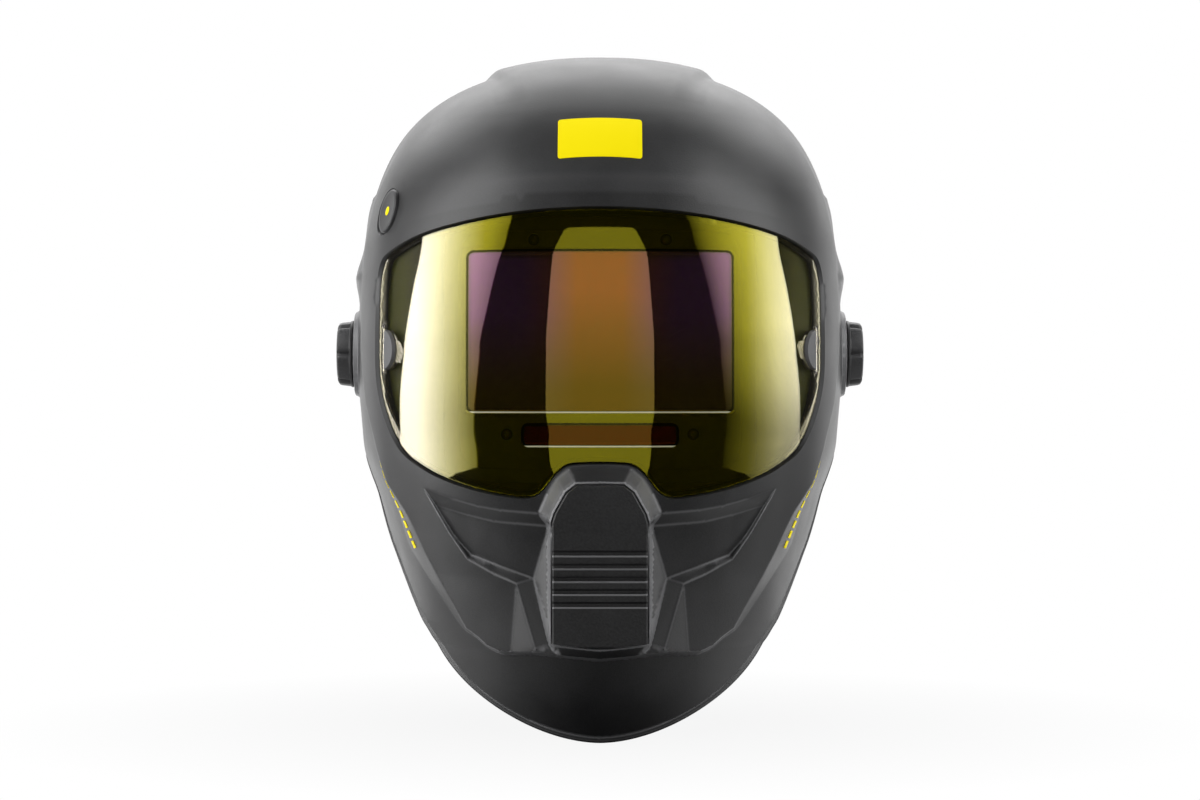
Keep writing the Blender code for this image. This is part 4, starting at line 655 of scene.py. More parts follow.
def panel(outer_loops, inner_loops, outer, inner, outer_grids=(), inner_grids=(),
          lines=(), flat=PATCH, soften=0):
    """A closed solid between two surfaces, its outer edges rounded off between its two sets of loops."""
    bm = bmesh.new()
    flat = np.array(flat)
    crease = bm.verts.layers.float.new("crease")
    near = sheet(bm, outer_loops, lines, outer_grids, outer, flat)
    fixed = {vert for loop in near for vert in loop}
    free = [vert for vert in bm.verts if vert not in fixed and vert.link_faces]
    bmesh.ops.recalc_face_normals(bm, faces=bm.faces)
    if soften:
        before = [(vert, vert.co.copy()) for vert in free]
        bm.normal_update()
        normals = {vert: vert.normal.copy() for vert in free}
        for _ in range(soften):
            bmesh.ops.smooth_vert(bm, verts=free, factor=0.5, **SMOOTH_AXES)
        for vert, old in before:
            if not any(edge.other_vert(vert) in fixed for edge in vert.link_edges):
                vert[crease] = abs((old - vert.co).dot(normals[vert])) / CREASE_STEP
    far = sheet(bm, inner_loops, (), inner_grids, inner, flat)
    for first, last, places in zip(near, far, inner_loops):
        u, v = np.asarray(places).T
        edge = outer(u, v) * (1 - EDGE_SHARE) + inner(u, v) * EDGE_SHARE
        middle = [bm.verts.new(point) for point in edge]
        bridge(bm, first, middle)
        bridge(bm, middle, last)
    loose = [vert for vert in bm.verts if not vert.link_faces]
    bmesh.ops.delete(bm, geom=loose, context="VERTS")
    return bm


def loft(loops, ring=False):
    """A solid through a row of loops of equal length: capped at its ends, or closed into a ring."""
    bm = bmesh.new()
    rows = [[bm.verts.new(point) for point in loop] for loop in loops]
    for low, high in zip(rows, rows[1:]):
        bridge(bm, low, high)
    if ring:
        bridge(bm, rows[-1], rows[0])
    else:
        bm.faces.new(rows[0])
        bm.faces.new(rows[-1])
    return bm


def circle(radius, along, axis, at, front, segments, hollow=None):
    """A loop round an axis from a front direction, with a hollow pressed in by angle."""
    axis, front = Vector(axis), Vector(front)
    side = axis.cross(front)
    loop = []
    for k in range(segments):
        angle = 2 * math.pi * k / segments
        reach = radius - (hollow(angle) if hollow else 0.0)
        loop.append(Vector(at) + axis * along + (front * math.cos(angle) + side * math.sin(angle)) * reach)
    return loop


BODY_OF = {node: body for body, nodes in frame["record"]["behaviour"]["bodies"].items() for node in nodes}


def add_object(name, data):
    made = bpy.data.objects.new(name, data)
    bpy.context.scene.collection.objects.link(made)
    return made


def place_mesh(name, bm, material, body, sharp=SHARP_ANGLE):
    mesh = bpy.data.meshes.new(name)
    bmesh.ops.recalc_face_normals(bm, faces=bm.faces)
    bm.to_mesh(mesh)
    bm.free()
    mesh.shade_smooth()
    mesh.set_sharp_from_angle(angle=math.radians(sharp))
    mesh.materials.append(material)
    piece = add_object(name, mesh)
    if body:
        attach(piece, body)
    return piece


def stand_in(node, bm, slot, sharp=SHARP_ANGLE, rides=True):
    """A finer form that shows in place of a CAD node."""
    piece = place_mesh(node + "_form", bm, FINISH[slot], BODY_OF[node] if rides else None, sharp)
    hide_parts(node)
    return piece


def dressed(node, slot, width, rides=True):
    """A CAD node's own shape with its edges rounded."""
    bm = bmesh.new()
    bm.from_mesh(NODES[node].data)
    bmesh.ops.remove_doubles(bm, verts=bm.verts, dist=2e-6)
    bmesh.ops.dissolve_limit(bm, angle_limit=math.radians(FLAT_ANGLE), verts=bm.verts, edges=bm.edges)
    piece = stand_in(node, bm, slot, rides=rides)
    bevel = piece.modifiers.new("edges", "BEVEL")
    bevel.width = width
    bevel.segments = 2
    bevel.limit_method = "ANGLE"
    bevel.angle_limit = math.radians(BEVEL_ANGLE)
    bevel.use_clamp_overlap = True
    return piece


# Finishes

WHITE = (1.0, 1.0, 1.0, 1.0)
CLOUD_SCALE = 45.0
CLOUD_STOPS = (0.38, 0.62)
SMEAR_STOPS = (0.3, 0.7)
GROOVE_HIGHLIGHT_GREY = 0.22
WEAR_AND_HIGHLIGHT_FROM = (0.02, 0.22)
WEAR_AND_HIGHLIGHT_SHARE = 0.85
WEAR_AND_HIGHLIGHT_GREY = 0.26
SHELL_SPECULAR = 0.60
LENS_GOLD = ((0.50, 0.46, 0.010), (0.56, 0.52, 0.014))
LENS_ROUGHNESS = (0.012, 0.030)
LENS_METALLIC = 0.15
LENS_SPECULAR_TINT = (1.0, 0.88, 0.15, 1.0)
LENS_REFLECTION_CREAM = (0.92, 0.88, 0.80)
REFLECTION_CREAM_LATER = 0.014
REFLECTION_CREAM_FROM = (0.050, 0.082)
PAINTED_WINDOW_CORNER = 0.0024
PAINTED_WINDOW_HALF = 0.0576
PAINTED_WINDOW_Z = (-0.0270, 0.0424)
BRONZE_REFLECTION = ((0.15, (0.47, 0.28, 0.02)), (0.75, (0.95, 0.42, 0.12)))
MAUVE_REFLECTION = ((0.10, (0.50, 0.36, 0.12)), (0.60, (0.60, 0.32, 0.58)))
MAUVE_REFLECTION_FROM = (0.010, 0.034)
PAINTED_CELL_HALF = 0.0333
SOLAR_EDGES = (-0.0418, -0.0330)
SOLAR_PAINTED_RED = (0.24, 0.045, 0.001)
WINDOW_EDGES = (-0.0275, 0.0435)
EDGE_LINE = 0.0007
EDGE_HIGHLIGHT = (0.85, 0.82, 0.55)
OUTLINE_SHADE_GREY = 0.004
SHADOW_GREY = 0.002
CLEAR_TINT = ((0.86, 0.88, 0.88), (0.93, 0.94, 0.94))
HOLDER_LIT_FLANK = (0.076, 0.088)
HOLDER_LIT_OLIVE = (0.22, 0.24, 0.05)
THREAD_SCALE = 420.0
LABEL_GLOW_YELLOW = (0.95, 0.79, 0.002, 1.0)


def fill(owner, sockets, values):
    """Sets a node's inputs to plain values, or joins them to other nodes' outputs."""
    for key, value in values.items():
        if isinstance(value, bpy.types.NodeSocket):
            owner.node_tree.links.new(value, sockets[key])
        else:
            sockets[key].default_value = value


def add_node(owner, kind, inputs=None, **settings):
    """A shader node in a material or the world."""
    made = owner.node_tree.nodes.new("ShaderNode" + kind)
    for key, value in settings.items():
        setattr(made, key, value)
    fill(owner, made.inputs, inputs or {})
    return made


def maths(owner, operation, *values):
    return add_node(owner, "Math", dict(enumerate(values)), operation=operation).outputs["Value"]


def object_place(material):
    return add_node(material, "TexCoord").outputs["Object"]


def axes_of(owner, place):
    return add_node(owner, "SeparateXYZ", {"Vector": place}).outputs


def noise(material, place, scale, detail):
    inputs = {"Vector": place, "Scale": scale, "Detail": detail}
    return add_node(material, "TexNoise", inputs).outputs["Fac"]


def colour_ramp(material, factor, stops):
    made = add_node(material, "ValToRGB", {"Fac": factor})
    elements = made.color_ramp.elements
    for element, (place, colour) in zip(elements, stops):
        element.position = place
        element.color = (*colour, 1.0)
    return made.outputs["Color"]


def spread_to(owner, factor, low, high, start=0.3, end=0.7):
    values = {"Value": factor, "From Min": start, "From Max": end, "To Min": low, "To Max": high}
    return add_node(owner, "MapRange", values).outputs["Result"]


def mixed_colour(material, factor, first, second):
    inputs = {0: factor, 6: first, 7: second}
    return add_node(material, "Mix", inputs, data_type="RGBA").outputs[2]


def grey(value, tint=(1.0, 1.0, 1.03)):
    return tuple(value * part for part in tint)


def new_material(name):
    material = bpy.data.materials.new(name)
    material.use_nodes = True
    return material


def shader_inputs(material):
    return material.node_tree.nodes["Principled BSDF"].inputs


def set_shader(material, values):
    fill(material, shader_inputs(material), values)


def shader_source(material, name):
    return shader_inputs(material)[name].links[0].from_socket


def blend_colour(material, factor, other):
    """Lays another colour over a finish by a factor."""
    if not isinstance(other, bpy.types.NodeSocket):
        other = (*other, 1.0)
    under = shader_source(material, "Base Color")
    set_shader(material, {"Base Color": mixed_colour(material, factor, under, other)})


def finish(name, dark, light, roughness, grain, depth, spread=0.06, metallic=0.0, stretch=None):
    """A moulded or machined finish: colour, roughness and grain each vary over the surface."""
    material = new_material(name)
    place = object_place(material)
    if stretch:
        place = add_node(material, "Mapping", {"Vector": place, "Scale": stretch}).outputs["Vector"]
    cloud, fine = noise(material, place, CLOUD_SCALE, 5.0), noise(material, place, grain, 2.0)
    half = maths(material, "MULTIPLY", maths(material, "ADD", cloud, fine), 0.5)
    bump = add_node(material, "Bump", {"Height": fine, "Distance": depth, "Strength": 1.0})
    values = {
        "Base Color": colour_ramp(material, half, zip(CLOUD_STOPS, (dark, light))),
        "Roughness": spread_to(material, half, roughness - spread, roughness + spread),
        "Normal": bump.outputs["Normal"],
        "Metallic": metallic,
    }
    set_shader(material, values)
    return material


def nose_finish():
    """The grained nose panel, with a painted highlight along the lower lip of each groove."""
    made = finish("grained_panel", grey(0.012), grey(0.030), 0.52, 950.0, 0.00022, 0.10)
    height = axes_of(made, object_place(made))["Z"]
    for k in range(GROOVE_COUNT):
        lip = GROOVE_TOP_Z - GROOVE_PITCH * k - GROOVE_HALF
        gap = maths(made, "ABSOLUTE", maths(made, "SUBTRACT", height, lip))
        # painted highlight: a paler band along the lower lip of each groove
        blend_colour(made, spread_to(made, gap, 1.0, 0.0, GROOVE_HIGHLIGHT_WIDE / 2, GROOVE_HIGHLIGHT_WIDE), grey(GROOVE_HIGHLIGHT_GREY))
    return made


def shell_finish():
    """Satin charcoal with a fine speckle, paler along its creases: partly wear, partly painted highlight.
    """
    made = finish("charcoal_shell", grey(0.020), grey(0.034), 0.40, 1700.0, 0.00006)
    set_shader(made, {"Specular IOR Level": SHELL_SPECULAR})
    # paler along the creases: partly wear, partly a painted highlight on the facet edges
    wear_and_highlight = add_node(made, "Attribute", attribute_name="crease").outputs["Fac"]
    blend_colour(made, spread_to(made, wear_and_highlight, 0.0, WEAR_AND_HIGHLIGHT_SHARE, *WEAR_AND_HIGHLIGHT_FROM), grey(WEAR_AND_HIGHLIGHT_GREY))
    return made


def past_window(material, away, height, half, low, high):
    """How far a place lies outside a round-cornered window; below zero inside it."""
    level = maths(material, "ABSOLUTE", maths(material, "SUBTRACT", height, (low + high) / 2))
    over = maths(material, "SUBTRACT", level, (high - low) / 2 - PAINTED_WINDOW_CORNER)
    wide = maths(material, "SUBTRACT", away, half - PAINTED_WINDOW_CORNER)
    both = add_node(material, "CombineXYZ", {"X": wide, "Z": over}).outputs["Vector"]
    corner = add_node(material, "VectorMath", {0: both, 1: (0.0, 0.0, 0.0)}, operation="MAXIMUM")
    outside = add_node(material, "VectorMath", {0: corner.outputs["Vector"]}, operation="LENGTH")
    within = maths(material, "MINIMUM", maths(material, "MAXIMUM", wide, over), 0.0)
    reached = maths(material, "ADD", outside.outputs["Value"], within)
    return maths(material, "SUBTRACT", reached, PAINTED_WINDOW_CORNER)


def lens_window(material, away, height, edges, colour):
    """A window painted into the lens: a painted reflection tint, a painted shade line round its edge, and a
    painted highlight along its lower edge, whose mask it returns.
    """
    past = past_window(material, away, height, *edges)
    blend_colour(material, spread_to(material, past, 1.0, 0.0, -GAP, 0.0), colour)
    near = spread_to(material, past, 0.0, 1.0, -GAP, 0.0)
    far = spread_to(material, past, 1.0, 0.0, EDGE_LINE, EDGE_LINE + GAP)
    # painted shade: a dark line round the window's edge
    border = maths(material, "MULTIPLY", near, far)
    blend_colour(material, border, grey(OUTLINE_SHADE_GREY))
    # painted highlight: a bright pale line along the window's lower edge, which also stops the light going
    # through
    under = spread_to(material, height, 1.0, 0.0, edges[1] - GAP, edges[1])
    sill_highlight = maths(material, "MULTIPLY", border, under)
    blend_colour(material, sill_highlight, EDGE_HIGHLIGHT)
    return sill_highlight


def lens_finish():
    """Gold-coated amber glass with faint smears, with painted reflections: cream towards its sides, mauve
    and bronze over the filter window, and the solar cell's red below it.
    """
    made = new_material("amber_lens")
    place = object_place(made)
    axes = axes_of(made, place)
    away, height = maths(made, "ABSOLUTE", axes["X"]), axes["Z"]
    smear = noise(made, place, 30.0, 4.0)
    set_shader(made, {"Base Color": colour_ramp(made, smear, zip(SMEAR_STOPS, LENS_GOLD))})
    # painted reflection: the lens pales to cream towards its sides, later on the wearer's left
    far_side = maths(made, "GREATER_THAN", axes["X"], 0.0)
    painted_reflection_reach = maths(made, "MULTIPLY_ADD", far_side, -REFLECTION_CREAM_LATER, away)
    blend_colour(made, spread_to(made, painted_reflection_reach, 0.0, 1.0, *REFLECTION_CREAM_FROM), LENS_REFLECTION_CREAM)
    # painted reflection: mauve and bronze tints of the filter window and the red of the solar cell, painted
    # into the lens by place
    risen = spread_to(made, height, 0.0, 1.0, *PAINTED_WINDOW_Z)
    middle, sides = colour_ramp(made, risen, BRONZE_REFLECTION), colour_ramp(made, risen, MAUVE_REFLECTION)
    window_reflection = mixed_colour(made, spread_to(made, away, 0.0, 1.0, *MAUVE_REFLECTION_FROM), middle, sides)
    sill_highlight = lens_window(made, away, height, (PAINTED_WINDOW_HALF, *PAINTED_WINDOW_Z), window_reflection)
    cell_sill_highlight = lens_window(made, away, height, (PAINTED_CELL_HALF, *SOLAR_EDGES), SOLAR_PAINTED_RED)
    sill_highlight = maths(made, "MAXIMUM", sill_highlight, cell_sill_highlight)
    values = {
        "Roughness": spread_to(made, smear, *LENS_ROUGHNESS),
        "Metallic": LENS_METALLIC,
        "Transmission Weight": spread_to(made, sill_highlight, 1.0, 0.0, 0.0, 1.0),
        "IOR": 1.5,
        "Specular Tint": LENS_SPECULAR_TINT,
    }
    set_shader(made, values)
    return made


def clear_finish():
    made = new_material("clear_plate")
    smear = noise(made, object_place(made), 60.0, 5.0)
    values = {
        "Roughness": spread_to(made, smear, 0.02, 0.09),
        "Base Color": colour_ramp(made, smear, zip(SMEAR_STOPS, CLEAR_TINT)),
        "Transmission Weight": 1.0,
    }
    set_shader(made, values)
    return made


def edge_lines(material, foot, top):
    """A painted highlight along a plate's lower edge and a painted shadow along its upper edge."""
    height = axes_of(material, object_place(material))["Z"]
    # painted highlight along the lower edge, painted shadow along the upper edge
    foot, top = foot + EDGE_LINE, top - EDGE_LINE
    blend_colour(material, spread_to(material, height, 1.0, 0.0, foot, foot + GAP), EDGE_HIGHLIGHT)
    blend_colour(material, spread_to(material, height, 0.0, 1.0, top - GAP, top), grey(SHADOW_GREY))


def holder_finish():
    """Dark olive moulding with painted light out on its flanks, where the light comes in past the lens."""
    made = finish("filter_black", (0.058, 0.054, 0.036), (0.078, 0.072, 0.050), 0.45, 1200.0, 0.00005)
    away = maths(made, "ABSOLUTE", axes_of(made, object_place(made))["X"])
    # painted light: paler olive out on the flanks
    blend_colour(made, spread_to(made, away, 0.0, 1.0, *HOLDER_LIT_FLANK), HOLDER_LIT_OLIVE)
    return made


def filter_finish():
    """Dark green filter glass, with a painted highlight along its lower edge and a painted shadow of the
    frame along its upper edge.
    """
    dark, light = (0.017, 0.030, 0.0012), (0.025, 0.045, 0.002)
    made = finish("filter_glass", dark, light, 0.10, 300.0, 0.000002, 0.04)
    edge_lines(made, *WINDOW_EDGES)
    return made


def solar_finish():
    """Red-brown cell with faint contact lines and a painted highlight along its lower edge."""
    made = finish("solar_brown", (0.30, 0.070, 0.012), (0.38, 0.090, 0.018), 0.22, 500.0, 0.000004)
    bands = {"Vector": object_place(made), "Scale": 32.0, "Distortion": 0.0}
    wave = add_node(made, "TexWave", bands, wave_type="BANDS", bands_direction="X").outputs["Fac"]
    blend_colour(made, spread_to(made, wave, 0.0, 0.2, 0.97, 1.0), (0.40, 0.20, 0.06))
    edge_lines(made, *SOLAR_EDGES)
    return made


def board_finish():
    made = finish("board_green", (0.012, 0.075, 0.030), (0.020, 0.11, 0.045), 0.42, 700.0, 0.00002)
    inputs = {"Vector": object_place(made), "Scale": 420.0}
    cells = add_node(made, "TexVoronoi", inputs, feature="DISTANCE_TO_EDGE")
    track = spread_to(made, cells.outputs["Distance"], 0.5, 0.0, 0.0, 0.06)
    blend_colour(made, track, (0.05, 0.20, 0.08))
    return made


def cloth_finish(name, dark, light):
    """Woven cover: two crossed sets of threads, with painted shade in the gaps between them and lint over
    them.
    """
    made = finish(name, dark, light, 0.88, 900.0, 0.00003, 0.05)
    inputs = {"Vector": object_place(made), "Scale": THREAD_SCALE, "Distortion": 0.6, "Detail": 1.0}
    threads = []
    for direction in ("DIAGONAL", "Z"):
        wave = add_node(made, "TexWave", inputs, wave_type="BANDS", bands_direction=direction)
        threads.append(wave.outputs["Fac"])
    weave = maths(made, "MULTIPLY", *threads)
    grain = shader_source(made, "Normal")
    bump = add_node(made, "Bump", {"Height": weave, "Distance": 0.0002, "Strength": 0.9, "Normal": grain})
    set_shader(made, {"Normal": bump.outputs["Normal"], "Sheen Weight": 0.25})
    # painted shade: darker in the gaps between the threads
    blend_colour(made, spread_to(made, weave, 0.5, 0.0, 0.0, 0.5), grey(0.010))
    return made


def yellow_finish():
    """Yellow film with a painted glow, so it shows a little brighter than the light on it."""
    made = finish("label_yellow", (0.93, 0.76, 0.003), (0.97, 0.81, 0.004), 0.55, 900.0, 0.00001)
    # painted glow: emission that makes the yellow brighter than the light on it
    values = {"Specular IOR Level": 0.08, "Emission Color": LABEL_GLOW_YELLOW, "Emission Strength": 0.35}
    set_shader(made, values)
    return made


# Plain finishes: dark and light colour, roughness, grain and its depth, then spread, metallic and stretch
PLAIN_FINISH = {
    "seal_rubber": (grey(0.010), grey(0.018), 0.78, 600.0, 0.00004),
    "grey_stud": (grey(0.14), grey(0.18), 0.42, 1500.0, 0.00003),
    "sensor_dark": ((0.020, 0.006, 0.006), (0.040, 0.012, 0.010), 0.14, 900.0, 0.000004),
    "panel_grey": (grey(0.040), grey(0.060), 0.48, 1400.0, 0.00006),
    "display_green": ((0.26, 0.30, 0.24), (0.31, 0.35, 0.29), 0.22, 1800.0, 0.000004),
    "key_grey": (grey(0.17), grey(0.22), 0.62, 1300.0, 0.00005),
    "tray_black": (grey(0.020), grey(0.032), 0.48, 1300.0, 0.00006),
    "steel": (grey(0.52), grey(0.66), 0.28, 1600.0, 0.00001, 0.08, 1.0, (1.0, 0.08, 1.0)),
    "clip_black": (grey(0.024), grey(0.038), 0.45, 1300.0, 0.00005),
    "button_grey": (grey(0.034), grey(0.052), 0.40, 1700.0, 0.00005),
    "block_black": (grey(0.022), grey(0.036), 0.46, 1200.0, 0.00006),
    "washer_white": ((0.68, 0.66, 0.60), (0.78, 0.77, 0.72), 0.46, 900.0, 0.00003),
    "knob_black": (grey(0.068), grey(0.088), 0.42, 1500.0, 0.00007),
    "band_black": (grey(0.022), grey(0.036), 0.50, 1300.0, 0.00008),
    "pinion_grey": (grey(0.26), grey(0.34), 0.46, 1100.0, 0.00004),
}
FINISH = {name: finish(name, *values) for name, values in PLAIN_FINISH.items()}
FINISH.update({
    "charcoal_shell": shell_finish(),
    "grained_panel": nose_finish(),
    "amber_lens": lens_finish(),
    "clear_plate": clear_finish(),
    "filter_black": holder_finish(),
    "filter_glass": filter_finish(),
    "solar_brown": solar_finish(),
    "board_green": board_finish(),
    "pad_black": cloth_finish("pad_black", grey(0.022), grey(0.040)),
})
YELLOW = yellow_finish()


# Helmet shell

RIM_COLUMNS = 220
RIM_ROWS = 110
RIM_INSET = 0.0012
EDGE_ROUND = 0.0006
MASK_STEP = 0.0015
PLAIN_STEP = 0.0042
INNER_STEP = 0.0065
BESIDE_STEP = 0.0011
BESIDE_ROOM = 0.75
CROWN_LINE = (0.72, 0.98)
CROWN_LINE_POINTS = 140
CROWN_BEVEL_LINES = 4
LIP_POINTS = 60
BOSS_POINTS = 180
BEAD_POINTS = 240
MASK_AREA = ((-0.175, 0.008), (0.175, 0.172))
HOLE_POINTS = 72


def rim_loop(inset):
    """The rim of the whole shell, once round, drawn in by an inset."""
    columns = np.linspace(-1, 1, RIM_COLUMNS, endpoint=False)
    rows = np.linspace(0, 1, RIM_ROWS, endpoint=False)
    bottom = np.stack((columns, 0 * columns), 1)
    left = np.stack((0 * rows + 1, rows), 1)
    loop = np.concatenate((bottom, left, np.array((0.0, 1.0)) - bottom, np.array((0.0, 1.0)) - left))
    loop[:, 0] = np.clip(loop[:, 0], inset - 1, 1 - inset)
    loop[:, 1] = np.clip(loop[:, 1], inset, 1 - inset)
    return loop


def lens_outline(grow=0.0):
    """The lens opening as a closed front-view loop, moved outward by grow."""
    half = np.array(LENS_EDGE)
    mirror = half[-2:0:-1] * (-1, 1)
    ring = np.concatenate((half, mirror))
    closed = np.concatenate((ring[-1:], ring, ring[:2]))
    loop = knots(closed, 1 + np.arange(len(ring) * LENS_STEPS) / LENS_STEPS)
    along = unit(np.roll(loop, -1, 0) - np.roll(loop, 1, 0))
    return loop + np.stack((-along[:, 1], along[:, 0]), 1) * grow


def button_frame():
    """The place and outward axis of the side push button."""
    place = patch_at([(BUTTON_X, BUTTON_Z)]).T
    return Vector(face_outside(*place)[0]), Vector(base_normal(*place)[0])


BUTTON_AT, BUTTON_AXIS = button_frame()
BUTTON_FRONT = (Vector((0, 0, 1)) - BUTTON_AXIS * BUTTON_AXIS.z).normalized()


def button_hole(grow):
    loop = circle(BUTTON_DIA / 2 + GAP + grow, 0.0, BUTTON_AXIS, BUTTON_AT, BUTTON_FRONT, HOLE_POINTS)
    return patch_at([(point.x, point.z) for point in loop])


def pivot_ring(side, radius, count=HOLE_POINTS):
    turn = np.linspace(0, 2 * math.pi, count, endpoint=False)
    return side_patch(side, radius * np.cos(turn), radius * np.sin(turn))


def closed_line(ring):
    return np.concatenate((ring, ring[:1]))


def shell_lines():
    """The outer shell's creases: face edge and ramp, facets, crown panel, side lips, bosses and bead."""
    edge = np.array(FACE_LINE)
    along = unit(np.vstack((edge[1:], edge[-1:])) - np.vstack((edge[:1], edge[:-1])))
    foot = edge + np.stack((-along[:, 1], along[:, 0]), 1) * reading(FACE_RAMP, edge[:, 1])[:, None]
    foot[:, 0] = np.maximum(foot[:, 0], 0.0)
    lines = [edge, foot] + [[facet_point(name) for name in line.split()] for line in FACET_LINES]
    found = []
    for line in lines:
        fine = dense(line, CREASE_STEP)
        found += [patch_at(fine), patch_at(fine * (-1, 1))]
    rows = np.linspace(*CROWN_LINE, CROWN_LINE_POINTS)
    for side in (1, -1):
        for grow in np.linspace(0.0, CROWN_BEVEL, CROWN_BEVEL_LINES):
            found.append(np.stack((across_at(side * (crown_edge(rows) + grow), rows), rows), 1))
        for height in sorted({height for lip in SIDE_LIPS for height in lip[:3]}):
            found.append(column_at(side * np.linspace(LIP_ACROSS[0], LIP_END, LIP_POINTS), height))
        for radius in (BOSS_RADIUS, BOSS_RADIUS + BOSS_EDGE):
            found.append(closed_line(pivot_ring(side, radius, BOSS_POINTS)))
    columns = np.linspace(-BEAD_ENDS[0], BEAD_ENDS[0], BEAD_POINTS)
    speed = rim_distance(columns, 0 * columns + 1.0)
    for away in (BEAD_SHOULDER * BEAD_WIDE, BEAD_WIDE, BEAD_GROOVE, BEAD_GROOVE + BEAD_GROOVE_HALF):
        found.append(np.stack((columns, away / speed), 1))
    return found


def beside(lines, room):
    """Flat places on both sides of every line, so that the mesh runs along it."""
    found = []
    for line in lines:
        places = np.asarray(line) * PATCH
        along = unit(np.gradient(places, axis=0))
        across = np.stack((-along[:, 1], along[:, 0]), 1) * room
        found += [places + across, places - across]
    return np.concatenate(found)


def make_shell():
    def holes(grow):
        pivots = [pivot_ring(side, BORE_RADIUS + grow) for _, side in SIDES]
        return [patch_at(lens_outline(grow)), button_hole(grow)] + pivots

    wide, tall = PATCH
    plain = staggered((-wide, 0.0), (wide, tall), PLAIN_STEP)
    fine = staggered(*MASK_AREA, MASK_STEP)
    (low_x, low_y), (high_x, high_y) = MASK_AREA
    x, y = plain.T
    plain = plain[(x < low_x) | (x > high_x) | (y < low_y) | (y > high_y)]
    lines = shell_lines()
    strips = beside(lines, BESIDE_STEP)
    grids = [(strips, BESIDE_ROOM * BESIDE_STEP)]
    for grid, step in ((plain, PLAIN_STEP), (fine, MASK_STEP)):
        grids.append((clear_of([strips], grid, ROOM * step), ROOM * step))
    inner = ((staggered((-wide, 0.0), (wide, tall), INNER_STEP), ROOM * INNER_STEP),)
    outer_loops = [rim_loop(RIM_INSET)] + holes(EDGE_ROUND)
    inner_loops = [rim_loop(0.0)] + holes(0.0)
    body = panel(outer_loops, inner_loops, shell_outside, shell_inside, grids, inner, lines,
                 soften=SMOOTH_PASSES)
    stand_in("helmet_shell", body, "charcoal_shell")


# Label and cheek stripes

LABEL_HALF = 0.0185
LABEL_LOW_Z = 0.0832
LABEL_TOP_Z = 0.1014
LABEL_ARC = 0.0010
LABEL_CORNER = 0.0012
LABEL_STEP = 0.0015
STICKER = (0.00008, 0.0003)
STICKER_STEP = 0.0022
CORNER_POINTS = 6
STRIPE_ENDS = ((0.0990, -0.0500), (0.0830, -0.0905))
STRIPE_HALF = 0.00055
STRIPE_DASHES = 9
STRIPE_SHARE = 0.72
STRIPE_STEP = 0.0009


def sticker(name, loop, material):
    """A thin printed patch on the shell, drawn as a front-view loop."""
    def surface(offset):
        return lambda u, v: shell_outside(u, v, offset)

    low, high = STICKER
    places = patch_at(loop)
    flat = places * np.array(PATCH)
    grid = (staggered(flat.min(0), flat.max(0), STICKER_STEP), ROOM * STICKER_STEP)
    body = panel([places], [places], surface(high), surface(low), (grid,), (grid,))
    piece = place_mesh(name, body, material, "shell")


def rounded_loop(half_wide, low, high, corner):
    """A flat rectangle with rounded corners, centred across."""
    loop = []
    middle, half_tall = (low + high) / 2, (high - low) / 2
    steps = CORNER_POINTS - 1
    for k in range(4 * CORNER_POINTS):
        quarter, step = divmod(k, CORNER_POINTS)
        angle = 2 * math.pi * (quarter * steps + step) / (4 * steps)
        turn = math.pi / 2 * quarter + math.pi / 4
        x = math.copysign(half_wide - corner, math.cos(turn)) + corner * math.cos(angle)
        z = math.copysign(half_tall - corner, math.sin(turn)) + corner * math.sin(angle)
        loop.append((x, middle + z))
    return loop


def make_marks():
    label = rounded_loop(LABEL_HALF, LABEL_LOW_Z, LABEL_TOP_Z, LABEL_CORNER)
    label = dense(label, LABEL_STEP, closed=True)
    label[:, 1] += LABEL_ARC * (1 - (label[:, 0] / LABEL_HALF) ** 2)
    sticker("shell_label", label, YELLOW)
    start, end = np.array(STRIPE_ENDS)
    along = (end - start) / np.linalg.norm(end - start)
    side_step = np.array((-along[1], along[0])) * STRIPE_HALF
    for name, side in SIDES:
        for k in range(STRIPE_DASHES):
            first = start + (end - start) * k / STRIPE_DASHES
            last = start + (end - start) * (k + STRIPE_SHARE) / STRIPE_DASHES
            corners = np.array((first - side_step, last - side_step, last + side_step, first + side_step))
            loop = dense(corners * (side, 1), STRIPE_STEP, closed=True)
            sticker(f"cheek_stripe_{name}_{k + 1}", loop, YELLOW)


# Lens, studs and holder

LENS_GRID = 0.0036
LENS_ROUND = 0.0003
STUD_ROUND = 0.0005
HOLDER_ROLL = 0.0006


def stud_outline(side, grow, count=24):
    """The D of a lens stud: flat towards the ear, round towards the nose."""
    turn = np.linspace(-math.pi / 2, math.pi / 2, count)
    x = STUD_FLAT_X - (STUD_WIDE + grow) * np.cos(turn)
    z = STUD_Z + (STUD_TALL / 2 + grow) * np.sin(turn)
    flat_side = np.array(((STUD_FLAT_X + grow, z[-1]), (STUD_FLAT_X + grow, z[0])))
    loop = np.concatenate((np.stack((x, z), 1)[1:-1], flat_side))
    return loop * (side, 1)


